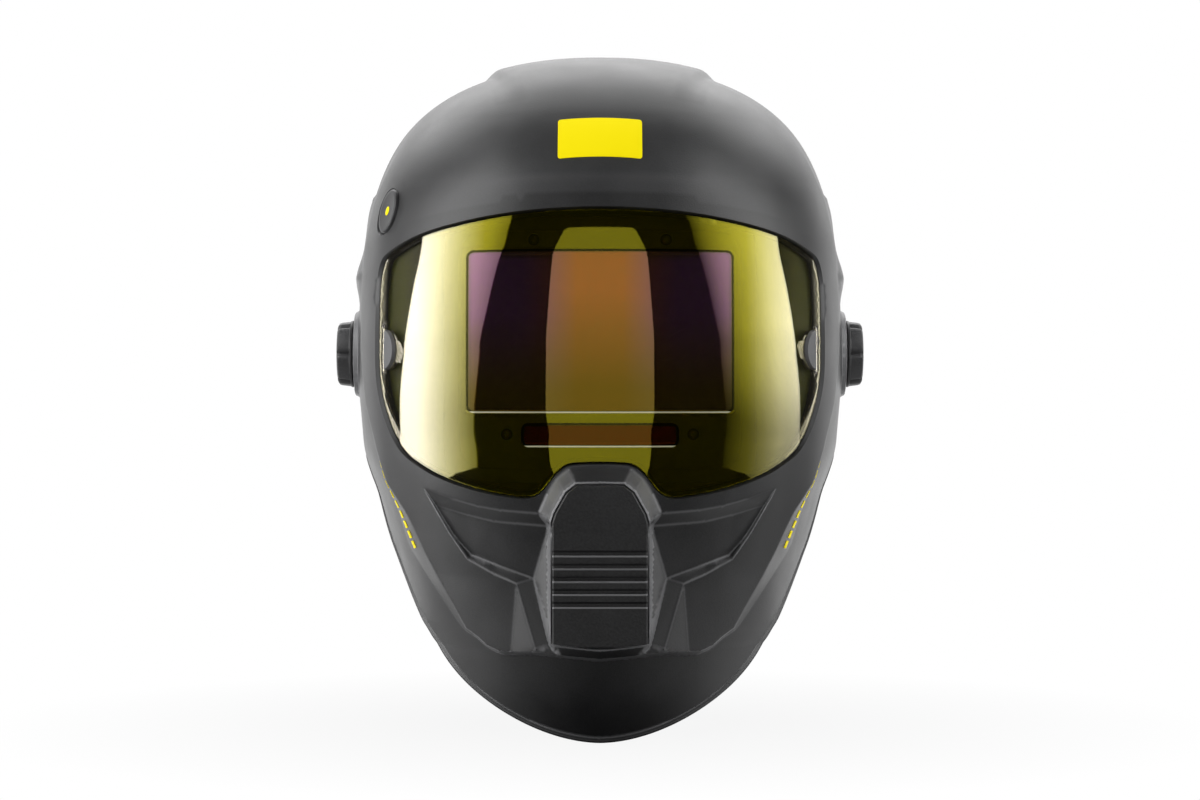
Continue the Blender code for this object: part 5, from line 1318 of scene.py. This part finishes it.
def make_lens():
    wide, tall = PATCH
    grid = ((staggered((-wide, 0.0), (wide, tall), LENS_GRID), ROOM * LENS_GRID),)

    def loops(draw_in):
        holes = [patch_at(stud_outline(side, GAP + draw_in)) for _, side in SIDES]
        return [patch_at(lens_outline(-LENS_FIT - draw_in))] + holes

    def surface(offset):
        return lambda u, v: face_outside(u, v, offset)

    front, rear = surface(-LENS_INSET), surface(-(LENS_INSET + LENS_THICK))
    stand_in("front_lens", panel(loops(LENS_ROUND), loops(0.0), front, rear, grid, grid), "amber_lens")

    def stud_back(u, v):
        return base(u, v) - base_normal(u, v) * (SHELL_WALL + GAP / 2)

    for name, side in SIDES:
        near, far = patch_at(stud_outline(side, -STUD_ROUND)), patch_at(stud_outline(side, 0.0))
        body = panel([near], [far], surface(STUD_PROUD - LENS_INSET), stud_back)
        stand_in(f"lens_stud_{name}", body, "grey_stud")


def window_loop(half_wide, half_tall, y):
    """A squared oval round the cartridge, with a point for each point of the lens outline."""
    x, z = lens_outline().T
    rise = z - FRAME_MID_Z
    reach = np.abs(x / half_wide) ** HOLDER_SQUARE + np.abs(rise / half_tall) ** HOLDER_SQUARE
    reach = reach ** (-1 / HOLDER_SQUARE)
    return np.stack((x * reach, 0 * x + y, FRAME_MID_Z + rise * reach), 1)


def make_holder():
    """The dark moulding behind the lens, with a rounded lip round the cartridge."""
    front = SHELL_WALL + GAP
    lip = FRONT_Y - GAP
    roll = HOLDER_ROLL

    def flange(grow, depth):
        u, v = patch_at(lens_outline(grow)).T
        return base(u, v) - base_normal(u, v) * depth

    def window(grow, y):
        return window_loop(FRAME_HALF + grow, FRAME_HALF_TALL + grow, y)

    loops = (
        flange(HOLDER_FLANGE_OUT, front),
        flange(-HOLDER_FLANGE_IN + roll, front),
        flange(-HOLDER_FLANGE_IN, front + roll / 2),
        window(HOLDER_BORDER + roll, lip - HOLDER_THICK - roll),
        window(HOLDER_BORDER, lip - HOLDER_THICK),
        window(-HOLDER_LAP + roll, lip - HOLDER_THICK),
        window(-HOLDER_LAP, lip - HOLDER_THICK + roll),
        window(-HOLDER_LAP, lip),
        window(HOLDER_BORDER, lip),
        flange(-HOLDER_FLANGE_IN, front + HOLDER_THICK),
        flange(HOLDER_FLANGE_OUT, front + HOLDER_THICK),
    )
    stand_in("filter_holder", loft(loops, ring=True), "filter_black")


# Nose insert

NOSE_COLUMNS = 13
NOSE_ROWS = 150
NOSE_HALF_LEAST = 0.004
NOSE_SHARP = 28.0
GROOVE_FLAT = 0.35


def nose_front_y(z):
    u, v = patch_at(np.stack((0 * z, z), 1)).T
    return shell_outside(u, v)[:, 1]


def make_nose():
    """The grained panel on the nose block, with its grooves pressed in."""
    names = ("seat_top", "seat_shoulder", "seat_slope", "seat_hip", "seat_side", "seat_corner", "seat_foot")
    outline = np.array([facet_point(name) for name in names])
    top, foot = outline[0, 1] - GAP, outline[-1, 1] + GAP
    z = np.linspace(foot, top, NOSE_ROWS)
    half = np.interp(z, outline[::-1, 1], outline[::-1, 0]) - GAP
    half = np.maximum(half, NOSE_HALF_LEAST)
    y = nose_front_y(z)
    deep = np.zeros(len(z))
    for k in range(GROOVE_COUNT):
        middle = GROOVE_TOP_Z - GROOVE_PITCH * k
        pressed = ramp(np.abs(z - middle), GROOVE_HALF, GROOVE_FLAT * GROOVE_HALF)
        deep = np.maximum(deep, GROOVE_DEEP * pressed)
    ends = NOSE_CHAMFER * (1 - ramp(np.minimum(z - foot, top - z), 0.0, NOSE_CHAMFER))
    across = np.linspace(-1, 1, NOSE_COLUMNS)
    loops = []
    for row in range(NOSE_ROWS):
        wall = half[row] - NOSE_CHAMFER
        front_y = y[row] - NOSE_SEAT_DEPTH - NOSE_PROUD + deep[row] + ends[row]
        loop = [(-half[row], y[row] - NOSE_SEAT_PLAY, z[row]), (-half[row], front_y + NOSE_CHAMFER, z[row])]
        loop += [(share * wall, front_y, z[row]) for share in across]
        loop += [(half[row], front_y + NOSE_CHAMFER, z[row]), (half[row], y[row] - NOSE_SEAT_PLAY, z[row])]
        loops.append(loop)
    stand_in("nose_insert", loft(loops), "grained_panel", NOSE_SHARP)


# Button and knobs

BUTTON_SHARP = 50.0
BUTTON_SEGMENTS = 96
BUTTON_ROUND = 0.0007
BUTTON_DISH_RINGS = 8
DOT_SEGMENTS = 32
KNOB_SHARP = 34.0
KNOB_SEGMENTS = 192
KNOB_BORE = 0.0042
RATCHET_SEGMENTS = 196
RATCHET_BORE = 0.0043


def turned(profile, axis, at, front, segments, hollows=None):
    """A turned solid from a profile of (radius, place along the axis, share of the grip hollow)."""
    loops = []
    for radius, along, share in profile:
        cut = (lambda angle, part=share: part * hollows(angle)) if hollows else None
        loops.append(circle(radius, along, axis, at, front, segments, cut))
    return loft(loops)


def make_button():
    radius = BUTTON_DIA / 2
    top, skirt = BUTTON_PROUD, BUTTON_PROUD - BUTTON_SKIRT
    profile = [(STEM_RADIUS, skirt - STEM_LONG, 0), (STEM_RADIUS, skirt, 0), (radius, skirt, 0)]
    rim = radius - BUTTON_ROUND
    profile += [(radius, top - 0.0010, 0), (radius - 0.0002, top - 0.0004, 0), (rim, top, 0)]
    for k in range(1, BUTTON_DISH_RINGS):
        share = 1 - k / BUTTON_DISH_RINGS
        profile.append((rim * share, top - BUTTON_DISH * (1 - share * share), 0))
    body = turned(profile, BUTTON_AXIS, BUTTON_AT, BUTTON_FRONT, BUTTON_SEGMENTS)
    stand_in("side_button", body, "button_grey", BUTTON_SHARP)
    top -= BUTTON_DISH
    dot = BUTTON_DOT_RADIUS
    rings = [(dot, top - 0.0001, 0), (dot, top + 0.00012, 0), (dot - 0.0002, top + 0.0002, 0)]
    body = turned(rings, BUTTON_AXIS, BUTTON_AT, BUTTON_FRONT, DOT_SEGMENTS)
    mark = place_mesh("button_dot", body, YELLOW, "side_button")


def make_knobs():
    def grooves(angle):
        return KNOB_GROOVE_DEEP * max(math.cos(KNOB_GROOVES * angle), 0.0) ** KNOB_GROOVE_SHARP

    thick, radius = KNOB_THICK, KNOB_RADIUS
    profile = [
        (KNOB_BORE, KNOB_SEAT, 0),
        (KNOB_BORE, 0.0, 0),
        (radius - 0.0006, 0.0, 0),
        (radius, 0.0006, 0),
        (radius, 0.0014, 0.0),
        (radius - 0.0004, 0.0018, 1.0),
        (radius - 0.0009, thick - 0.0020, 1.0),
        (radius - 0.0013, thick - 0.0008, 1.0),
        (radius - 0.0024, thick - 0.0001, 0.6),
        (radius - 0.0034, thick, 0.2),
        (radius - 0.0052, thick - 0.0002, 0.0),
        (radius - 0.0060, thick - 0.0008, 0.0),
        (radius - 0.0090, thick - 0.0008, 0.0),
    ]
    for name, side in SIDES:
        body = turned(profile, (side, 0, 0), (side * KNOB_X, 0, 0), (0, -1, 0), KNOB_SEGMENTS, grooves)
        stand_in(f"tension_knob_{name}", body, "knob_black", KNOB_SHARP)


def make_ratchet_knob():
    def lobes(angle):
        return RATCHET_LOBE_DEEP * max(math.cos(RATCHET_LOBES * angle), 0.0)

    start, end, radius = RATCHET_START, RATCHET_START + RATCHET_THICK, RATCHET_RADIUS
    profile = [
        (RATCHET_BORE, start + 0.006, 0),
        (RATCHET_BORE, start, 0),
        (radius - 0.002, start, 0),
        (radius - 0.0006, start + 0.0006, 0.6),
        (radius, start + 0.002, 1),
        (radius - 0.0003, end - 0.0035, 1),
        (radius - 0.0010, end - 0.0015, 1),
        (radius - 0.0025, end - 0.0004, 0.5),
        (radius - 0.0040, end, 0),
        (radius - 0.0060, end - 0.0002, 0),
        (radius - 0.0072, end - 0.0014, 0),
        (radius - 0.0150, end - 0.0018, 0),
        (0.0020, end - 0.0016, 0),
    ]
    body = turned(profile, (0, 1, 0), RATCHET_CENTRE, (0, 0, 1), RATCHET_SEGMENTS, lobes)
    stand_in("ratchet_knob", body, "knob_black", KNOB_SHARP)


# Headgear

BAND_WIDEN = (75.0, 45.0)
BAND_POINTS = 200
BAND_GRID = 0.0026
BAND_GRID_HALF = 0.015
BAND_SLOPE = 0.0008
STRAP_EDGE_ROUND = 0.0004
STRAP_POINTS = 90
STRAP_GRID = 0.0032
STRAP_TIP = 0.045
STRAP_TIP_WIDE = 0.55
STRAP_HOLE_POINTS = 28
STRAP_HOLE_ROUND = 0.0003
STRAP_UNDER = (0.9, 0.4)
TANGENT_STEP = 2.0


def signed_power(value, exponent):
    return np.copysign(np.abs(value) ** exponent, value)


def band_point(turn, out, lift):
    """Points on the headband's oval: degrees from the brow, way out from its inner face, and lift."""
    angle = np.radians(turn)
    across = signed_power(np.sin(angle), 2 / BAND_SQUARE)
    along = signed_power(np.cos(angle), 2 / BAND_SQUARE)
    x = (BAND_HALF_WIDTH + out) * across
    y = BAND_CENTRE_Y - (BAND_HALF_LENGTH + out) * along
    fall = BAND_FALL * BAND_HALF_LENGTH * (1 - along)
    return np.stack((x, y, BAND_BROW_Z - fall + lift), 1)


def band_half(turn):
    return BAND_HALF_TALL + BAND_BROW_EXTRA * ramp(np.abs(turn), *BAND_WIDEN)


def make_band():
    """The front band, its outer face sunk between two borders."""
    flat = (BAND_PER_DEGREE, 1.0)

    def outline(draw_in):
        reach = BAND_TURN - draw_in / BAND_PER_DEGREE
        turn = np.linspace(-reach, reach, BAND_POINTS)
        half = band_half(turn) - draw_in
        low, high = np.stack((turn, -half), 1), np.stack((turn[::-1], half[::-1]), 1)
        return np.concatenate((low, high))

    def outer(turn, lift):
        edge = np.minimum(band_half(turn) - np.abs(lift), (BAND_TURN - np.abs(turn)) * BAND_PER_DEGREE)
        sunk = BAND_RECESS * ramp(edge, BAND_BORDER, BAND_BORDER + BAND_SLOPE)
        return band_point(turn, BAND_THICK - sunk, lift)

    def inner(turn, lift):
        return band_point(turn, 0 * turn, lift)

    corner = np.array((BAND_TURN * BAND_PER_DEGREE, BAND_GRID_HALF))
    grid = ((staggered(-corner, corner, BAND_GRID), THIN_ROOM * BAND_GRID),)
    lines = [closed_line(outline(BAND_BORDER + wide)) for wide in (0.0, BAND_SLOPE)]
    near, far = [outline(STRAP_EDGE_ROUND)], [outline(0.0)]
    body = panel(near, far, outer, inner, grid, grid, lines, flat)
    stand_in("front_band", body, "band_black")


def crown_arch(turn, top_y, top_z, stand_off, lean):
    """A point, width direction and outward direction on a crown strap, lean running -1 to 1 across."""
    foot = Vector(band_point(np.array([turn]), BAND_THICK + stand_off, 0.0)[0])
    angle = lean * math.pi / 2
    middle = Vector((0, top_y, top_z))
    arch = Vector((foot.x * math.sin(angle), foot.y + (middle.y - foot.y) * math.cos(angle),
                   foot.z + (middle.z - foot.z) * math.cos(angle)))
    before, after = band_point(np.array([turn - TANGENT_STEP, turn + TANGENT_STEP]), 0.0, 0.0)
    tangent = Vector(after - before)
    tangent.z = 0.0
    tangent.normalize()
    side = Vector((math.copysign(tangent.x, tangent.x * lean) if lean else 0.0, tangent.y, 0.0))
    width = Vector((0, 1, 0)).lerp(side, abs(math.sin(angle)) ** 3).normalized()
    along = Vector((foot.x * math.cos(angle), -(middle.y - foot.y) * math.sin(angle),
                    -(middle.z - foot.z) * math.sin(angle))).normalized()
    return arch, width, along.cross(width).normalized()


def make_crown_straps():
    """Four half straps with rounded edges and a row of peg holes."""
    flat = (CROWN_STRAP_LONG, 1.0)
    half = CROWN_STRAP_WIDE / 2

    def outline(draw_in):
        low = -CROWN_STRAP_LAP + draw_in / CROWN_STRAP_LONG
        high = 1.0 - draw_in / CROWN_STRAP_LONG
        lean = np.linspace(low, high, STRAP_POINTS)
        wide = 0 * lean + half - draw_in
        tip = ramp(lean, low, low + STRAP_TIP)
        wide = wide * (STRAP_TIP_WIDE + (1 - STRAP_TIP_WIDE) * np.sqrt(tip))
        return np.concatenate((np.stack((lean, -wide), 1), np.stack((lean[::-1], wide[::-1]), 1)))

    def hole(at, radius):
        turn = np.linspace(0, 2 * math.pi, STRAP_HOLE_POINTS, endpoint=False)
        return np.stack((at + radius * np.cos(turn) / CROWN_STRAP_LONG, radius * np.sin(turn)), 1)

    low_corner, high_corner = (-CROWN_STRAP_LAP * CROWN_STRAP_LONG, -half), (CROWN_STRAP_LONG, half)
    grid = ((staggered(low_corner, high_corner, STRAP_GRID), THIN_ROOM * STRAP_GRID),)
    for place, *shape in CROWN_STRAPS:
        for name, side in SIDES:
            under = 0.0 if side > 0 else CROWN_STRAP_THICK + GAP

            def surface(lean, across, out):
                points = []
                for value, offset in zip(lean, across):
                    arch, width, outward = crown_arch(*shape, side * value)
                    lift = under * ramp(value, *STRAP_UNDER) + out
                    points.append(arch + width * offset + outward * lift)
                return np.array(points)

            def holes(grow):
                spare = [hole(at, STRAP_HOLE_RADIUS + grow) for at in SPARE_HOLES]
                return [hole(0.0, PEG_HOLE_RADIUS + grow)] + spare

            near, far = [outline(STRAP_EDGE_ROUND)] + holes(STRAP_HOLE_ROUND), [outline(0.0)] + holes(0.0)
            body = panel(near, far, lambda u, v: surface(u, v, CROWN_STRAP_THICK),
                         lambda u, v: surface(u, v, 0.0), grid, grid, (), flat)
            stand_in(f"crown_strap_{place}_{name}", body, "band_black")


# Pads

PAD_ALONG = 120
PAD_ROUND = 26
PAD_FRAMES = 20
PAD_PRESSURE = 4.0
PAD_CAP = 0.0016
SEAM_HALF = 0.0016
SEAM_DEEP = 0.55
PAD_START = 0.86
PAD_END_SWELL = 0.35
PAD_END_TALL = 0.8
PAD_BACK = (-0.86, 0.86, 9)
PAD_SHARP = 60.0
PAD_QUALITY = 6
SEAM_END = {"brow": 0.94, "nape": 0.92}
BROW_SEAMS = (-33.0, -11.0, 11.0, 33.0)
NAPE_CENTRE = 180.0
NAPE_SEAM = 8.0


def pad_form(centre, reach, half, inner, thick, seams):
    """A crowned pad on the band's inner side, pressed in along its seams; also gives its held points."""
    loops, held = [], []
    for row, turn in enumerate(np.linspace(centre - reach, centre + reach, PAD_ALONG)):
        end = abs(turn - centre) / reach
        swell = PAD_END_SWELL + (1 - PAD_END_SWELL) * (1 - end ** 4) ** 0.5
        tall = half * (PAD_END_TALL + (1 - PAD_END_TALL) * swell)
        away = min(abs(turn - seam) for seam in seams) * BAND_PER_DEGREE
        sewn = 1 - SEAM_DEEP * (1 - ramp(away, 0.0, 2.5 * SEAM_HALF))
        outs, lifts, pins = [], [], []
        for k in range(PAD_ROUND):
            angle = math.pi * (k + 0.5) / PAD_ROUND
            deep = PAD_START * thick * swell * sewn * math.sin(angle) ** 0.6
            outs.append(inner - deep)
            lifts.append(tall * signed_power(math.cos(angle), 0.8))
            pins.append(away < SEAM_HALF / 2 or k in (0, PAD_ROUND - 1) or row in (0, PAD_ALONG - 1))
        for share in np.linspace(*PAD_BACK):
            outs.append(inner)
            lifts.append(tall * share)
            pins.append(True)
        turn_row = np.full(len(outs), turn)
        loops.append(band_point(turn_row, np.array(outs), np.array(lifts)))
        held += pins
    return loft(loops), held


def swell_pad(piece, held):
    """Fills a pad by cloth pressure against its seams and backing, then applies the result."""
    group = piece.vertex_groups.new(name="held")
    group.add([k for k, pin in enumerate(held) if pin], 1.0, "REPLACE")
    cloth = piece.modifiers.new("swell", "CLOTH")
    cloth.settings.use_pressure = True
    cloth.settings.uniform_pressure_force = PAD_PRESSURE
    cloth.settings.vertex_group_mass = "held"
    cloth.settings.effector_weights.gravity = 0.0
    cloth.settings.quality = PAD_QUALITY
    cloth.point_cache.frame_start = 1
    cloth.point_cache.frame_end = PAD_FRAMES
    scene = bpy.context.scene
    for step in range(1, PAD_FRAMES + 1):
        scene.frame_set(step)
    swollen = piece.evaluated_get(bpy.context.evaluated_depsgraph_get())
    before = np.array([vert.co for vert in piece.data.vertices])
    after = np.array([vert.co for vert in swollen.data.vertices])
    move = after - before
    length = np.maximum(np.linalg.norm(move, axis=1), 1e-9)
    points = before + move * (np.minimum(length, PAD_CAP) / length)[:, None]
    piece.modifiers.remove(cloth)
    for vert, point in zip(piece.data.vertices, points):
        vert.co = point
    scene.frame_set(1)


def make_pad(node, centre, reach, half, inner, thick, seams):
    form, held = pad_form(centre, reach, half, inner, thick, seams)
    piece = stand_in(node, form, "pad_black", PAD_SHARP)
    swell_pad(piece, held)
    smooth = piece.modifiers.new("soft", "SUBSURF")
    smooth.levels = 1
    smooth.render_levels = 1


def make_pads():
    ends = BROW_PAD_TURN * SEAM_END["brow"]
    brow_seams = (-ends, *BROW_SEAMS, ends)
    make_pad("brow_pad", 0.0, BROW_PAD_TURN, BROW_PAD_HALF_TALL, -GAP, BROW_PAD_THICK, brow_seams)
    ends = NAPE_PAD_TURN * SEAM_END["nape"]
    inner = NAPE_SEAM + ends / 6
    nape_seams = [NAPE_CENTRE + away for away in (-ends, -inner, inner, ends)]
    make_pad("nape_pad", NAPE_CENTRE, NAPE_PAD_TURN, NAPE_PAD_HALF_TALL, -GAP, NAPE_PAD_THICK, nape_seams)


# Pieces that keep their own shape, with their edges rounded

ROUNDED = (
    (0.0004, "filter_black", "filter_frame filter_rear_cover"),
    (0.0002, "filter_glass", "filter_glass"),
    (0.0002, "solar_brown", "solar_cell"),
    (0.0003, "sensor_dark", "arc_sensor_1 arc_sensor_2 arc_sensor_3 arc_sensor_4"),
    (0.0003, "clear_plate", "inner_cover_lens"),
    (0.0004, "panel_grey", "control_panel"),
    (0.0002, "display_green", "display"),
    (0.0002, "board_green", "circuit_board"),
    (0.0004, "key_grey", "control_key_1 control_key_2 control_key_3"),
    (0.0004, "tray_black", "battery_tray"),
    (0.0003, "steel", "coin_cell pivot_bolt_left pivot_bolt_right"),
    (0.0005, "clip_black", "cartridge_clip_left cartridge_clip_right"),
    (0.0005, "block_black", "slide_block_left slide_block_right stop_plate_left stop_plate_right"),
    (0.0005, "block_black", "button_switch"),
    (0.0003, "washer_white", "friction_washer_left friction_washer_right"),
    (0.0006, "band_black", "side_rail_left side_rail_right ratchet_housing ratchet_cover"),
    (0.0004, "band_black", "crown_peg_front crown_peg_rear"),
    (0.0002, "pinion_grey", "ratchet_pinion"),
    (0.0003, "seal_rubber", "lens_seal"),
)
STRAP_BEVEL = 0.0003


def make_rounded():
    for width, slot, names in ROUNDED:
        for name in names.split():
            dressed(name, slot, width)


def make_rear_straps():
    """Straps between the front band and the ratchet, with their edges rounded and the rounding applied;
    they ride on no body.
    """
    for name, _ in SIDES:
        piece = dressed(f"rear_strap_{name}", "band_black", STRAP_BEVEL, rides=False)
        shaped = piece.evaluated_get(bpy.context.evaluated_depsgraph_get())
        mesh = bpy.data.meshes.new_from_object(shaped)
        piece.modifiers.clear()
        piece.data = mesh
        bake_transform(piece)


# Camera, stage and light

CAMERA_AT = (0.0, -1.5, -0.0222)
CAMERA_LENS = 93.2
CAMERA_SENSOR = 36.0
FLOOR_Z = -0.1775
FLOOR_RADIUS = 0.30
FLOOR_SEGMENTS = 96
FLOOR_WHITE = 0.9
FLOOR_CORE = 0.2
FLOOR_ROUGHNESS = 0.9
TOP_LAMP_AT = (0.0, 1.15, 1.4)
TOP_LAMP_SIZE = (3.4, 1.3)
TOP_LAMP_RADIANCE = 2.0
FRONT_PANEL_Y = -2.3
FRONT_PANEL_HALF = 0.85
FRONT_PANEL_Z = (-0.74, 1.32)
FRONT_PANEL_CORNER = 0.32
FRONT_PANEL_TAPER = 0.30
FRONT_PANEL_RADIANCE = 0.9
SIDE_PANEL_X = 1.6
SIDE_PANEL = ((-0.67, -0.44), (0.90, -0.44), (-0.35, 1.60), (-0.10, 2.40), (-2.20, 2.40), (-2.05, 1.60))
SIDE_PANEL_LEAN = 0.65
SIDE_PANEL_FADE = (-0.96, 0.30)
SIDE_PANEL_RADIANCE = {"right": (1.0, 4.2), "left": (0.25, 3.4)}
SIDE_PANEL_FOOT = (-0.32, 0.12)
SIDE_PANEL_FOOT_SHARE = {"right": 0.8, "left": 0.28}
WORLD_FRONT = 0.03
WORLD_BACK = 1.8
WORLD_TURN = (0.68, 0.84)
FLOOR_GREY = 0.10
FLOOR_GLOSS = (0.01, 0.55)
FLOOR_DARK_Y = -0.12
FLOOR_DARK = (0.03, 0.12)
TABLE_GLOSS = 0.22
TABLE_RISE = (-0.50, -0.46)


def make_camera():
    data = bpy.data.cameras.new("camera")
    data.lens = CAMERA_LENS
    data.sensor_width = CAMERA_SENSOR
    camera = add_object("camera", data)
    camera.location = CAMERA_AT
    camera.rotation_euler = (math.pi / 2, 0.0, 0.0)
    bpy.context.scene.camera = camera


def make_panel(name, corners, low, high, foot_share=1.0):
    """A glowing studio panel that shows in the lens but not to the camera, brighter towards the back."""
    mesh = bpy.data.meshes.new(name)
    mesh.from_pydata(corners, [], [range(len(corners))])
    material = new_material(name)
    nodes = material.node_tree.nodes
    nodes.remove(nodes["Principled BSDF"])
    axes = axes_of(material, object_place(material))
    depth = maths(material, "MULTIPLY_ADD", axes["Z"], SIDE_PANEL_LEAN, axes["Y"])
    foot = spread_to(material, axes["Z"], foot_share, 1.0, *SIDE_PANEL_FOOT)
    faded = spread_to(material, depth, low, high, *SIDE_PANEL_FADE)
    glow = add_node(material, "Emission", {"Strength": maths(material, "MULTIPLY", faded, foot)})
    fill(material, nodes["Material Output"].inputs, {"Surface": glow.outputs["Emission"]})
    mesh.materials.append(material)
    panel_object = add_object(name, mesh)
    panel_object.visible_camera = False


def make_lamps():
    data = bpy.data.lights.new("lamp_top", "AREA")
    data.shape = "RECTANGLE"
    data.size, data.size_y = TOP_LAMP_SIZE
    data.energy = TOP_LAMP_RADIANCE * math.pi * data.size * data.size_y
    lamp = add_object("lamp_top", data)
    lamp.location = TOP_LAMP_AT
    lamp.rotation_euler = (-Vector(TOP_LAMP_AT)).to_track_quat("-Z", "Y").to_euler()
    lamp.visible_camera = False
    foot, top = FRONT_PANEL_Z
    front = []
    for x, z in rounded_loop(FRONT_PANEL_HALF, foot, top, FRONT_PANEL_CORNER):
        narrow = 1 - FRONT_PANEL_TAPER * max(z, 0.0) / top
        front.append((x * narrow, FRONT_PANEL_Y, z))
    make_panel("panel_front", front, FRONT_PANEL_RADIANCE, FRONT_PANEL_RADIANCE)
    for name, side in SIDES:
        corners = [(side * SIDE_PANEL_X, y, z) for y, z in SIDE_PANEL]
        make_panel("panel_" + name, corners, *SIDE_PANEL_RADIANCE[name], SIDE_PANEL_FOOT_SHARE[name])


def make_world():
    """White to the camera and straight through glass; to other rays a room dim in front, bright behind."""
    world = bpy.data.worlds.new("world")
    bpy.context.scene.world = world
    world.use_nodes = True
    world.node_tree.nodes.clear()
    axes = axes_of(world, add_node(world, "TexCoord").outputs["Generated"])
    level = spread_to(world, axes["Y"], WORLD_FRONT, WORLD_BACK, *WORLD_TURN)
    table = spread_to(world, axes["Z"], TABLE_GLOSS, 0.0, *TABLE_RISE)
    room = add_node(world, "Background", {"Strength": maths(world, "MAXIMUM", level, table)})
    seen = add_node(world, "Background", {"Color": WHITE, "Strength": 1.0})
    ray = add_node(world, "LightPath").outputs
    bounces = maths(world, "ADD", ray["Diffuse Depth"], ray["Glossy Depth"])
    straight = maths(world, "LESS_THAN", bounces, 0.5)
    through = maths(world, "MULTIPLY", ray["Is Transmission Ray"], straight)
    direct = maths(world, "MAXIMUM", ray["Is Camera Ray"], through)
    inputs = {"Fac": direct, 1: room.outputs["Background"], 2: seen.outputs["Background"]}
    mix = add_node(world, "MixShader", inputs)
    add_node(world, "OutputWorld", {"Surface": mix.outputs["Shader"]})


def make_floor():
    """A disc that is white to the camera apart from the shadow, and a dim table to glossy rays."""
    bm = bmesh.new()
    bmesh.ops.create_circle(bm, cap_ends=True, segments=FLOOR_SEGMENTS, radius=FLOOR_RADIUS)
    mesh = bpy.data.meshes.new("floor")
    bm.to_mesh(mesh)
    bm.free()
    floor = add_object("floor", mesh)
    floor.location = (0.0, 0.0, FLOOR_Z)
    material = new_material("floor_white")
    set_shader(material, {"Base Color": (*grey(FLOOR_GREY), 1.0), "Roughness": FLOOR_ROUGHNESS})
    ray = add_node(material, "LightPath").outputs
    place = object_place(material)
    axes = axes_of(material, place)
    away = add_node(material, "VectorMath", {0: place}, operation="LENGTH").outputs["Value"]
    white = spread_to(material, away, FLOOR_WHITE, 1.0, FLOOR_CORE * FLOOR_RADIUS, FLOOR_RADIUS)
    seen = maths(material, "MULTIPLY", ray["Is Camera Ray"], white)
    glow = add_node(material, "Emission", {"Color": WHITE, "Strength": 1.0})
    aside = maths(material, "ABSOLUTE", axes["X"])
    ahead = maths(material, "ABSOLUTE", maths(material, "SUBTRACT", axes["Y"], FLOOR_DARK_Y))
    clear = maths(material, "MULTIPLY_ADD", ahead, 0.5, aside)
    gloss = spread_to(material, clear, *FLOOR_GLOSS, *FLOOR_DARK)
    table = add_node(material, "Emission", {"Strength": gloss})
    nodes = material.node_tree.nodes
    surface = nodes["Principled BSDF"].outputs["BSDF"]
    for share, layer in ((seen, glow), (ray["Is Glossy Ray"], table)):
        inputs = {"Fac": share, 1: surface, 2: layer.outputs["Emission"]}
        surface = add_node(material, "MixShader", inputs).outputs["Shader"]
    fill(material, nodes["Material Output"].inputs, {"Surface": surface})
    mesh.materials.append(material)


make_camera()
make_lamps()
make_world()
make_floor()
make_shell()
make_marks()
make_lens()
make_holder()
make_nose()
make_button()
make_knobs()
make_ratchet_knob()
make_band()
make_crown_straps()
make_pads()
make_rounded()
make_rear_straps()
bpy.context.scene.view_settings.view_transform = "Standard"
bpy.context.view_layer.update()
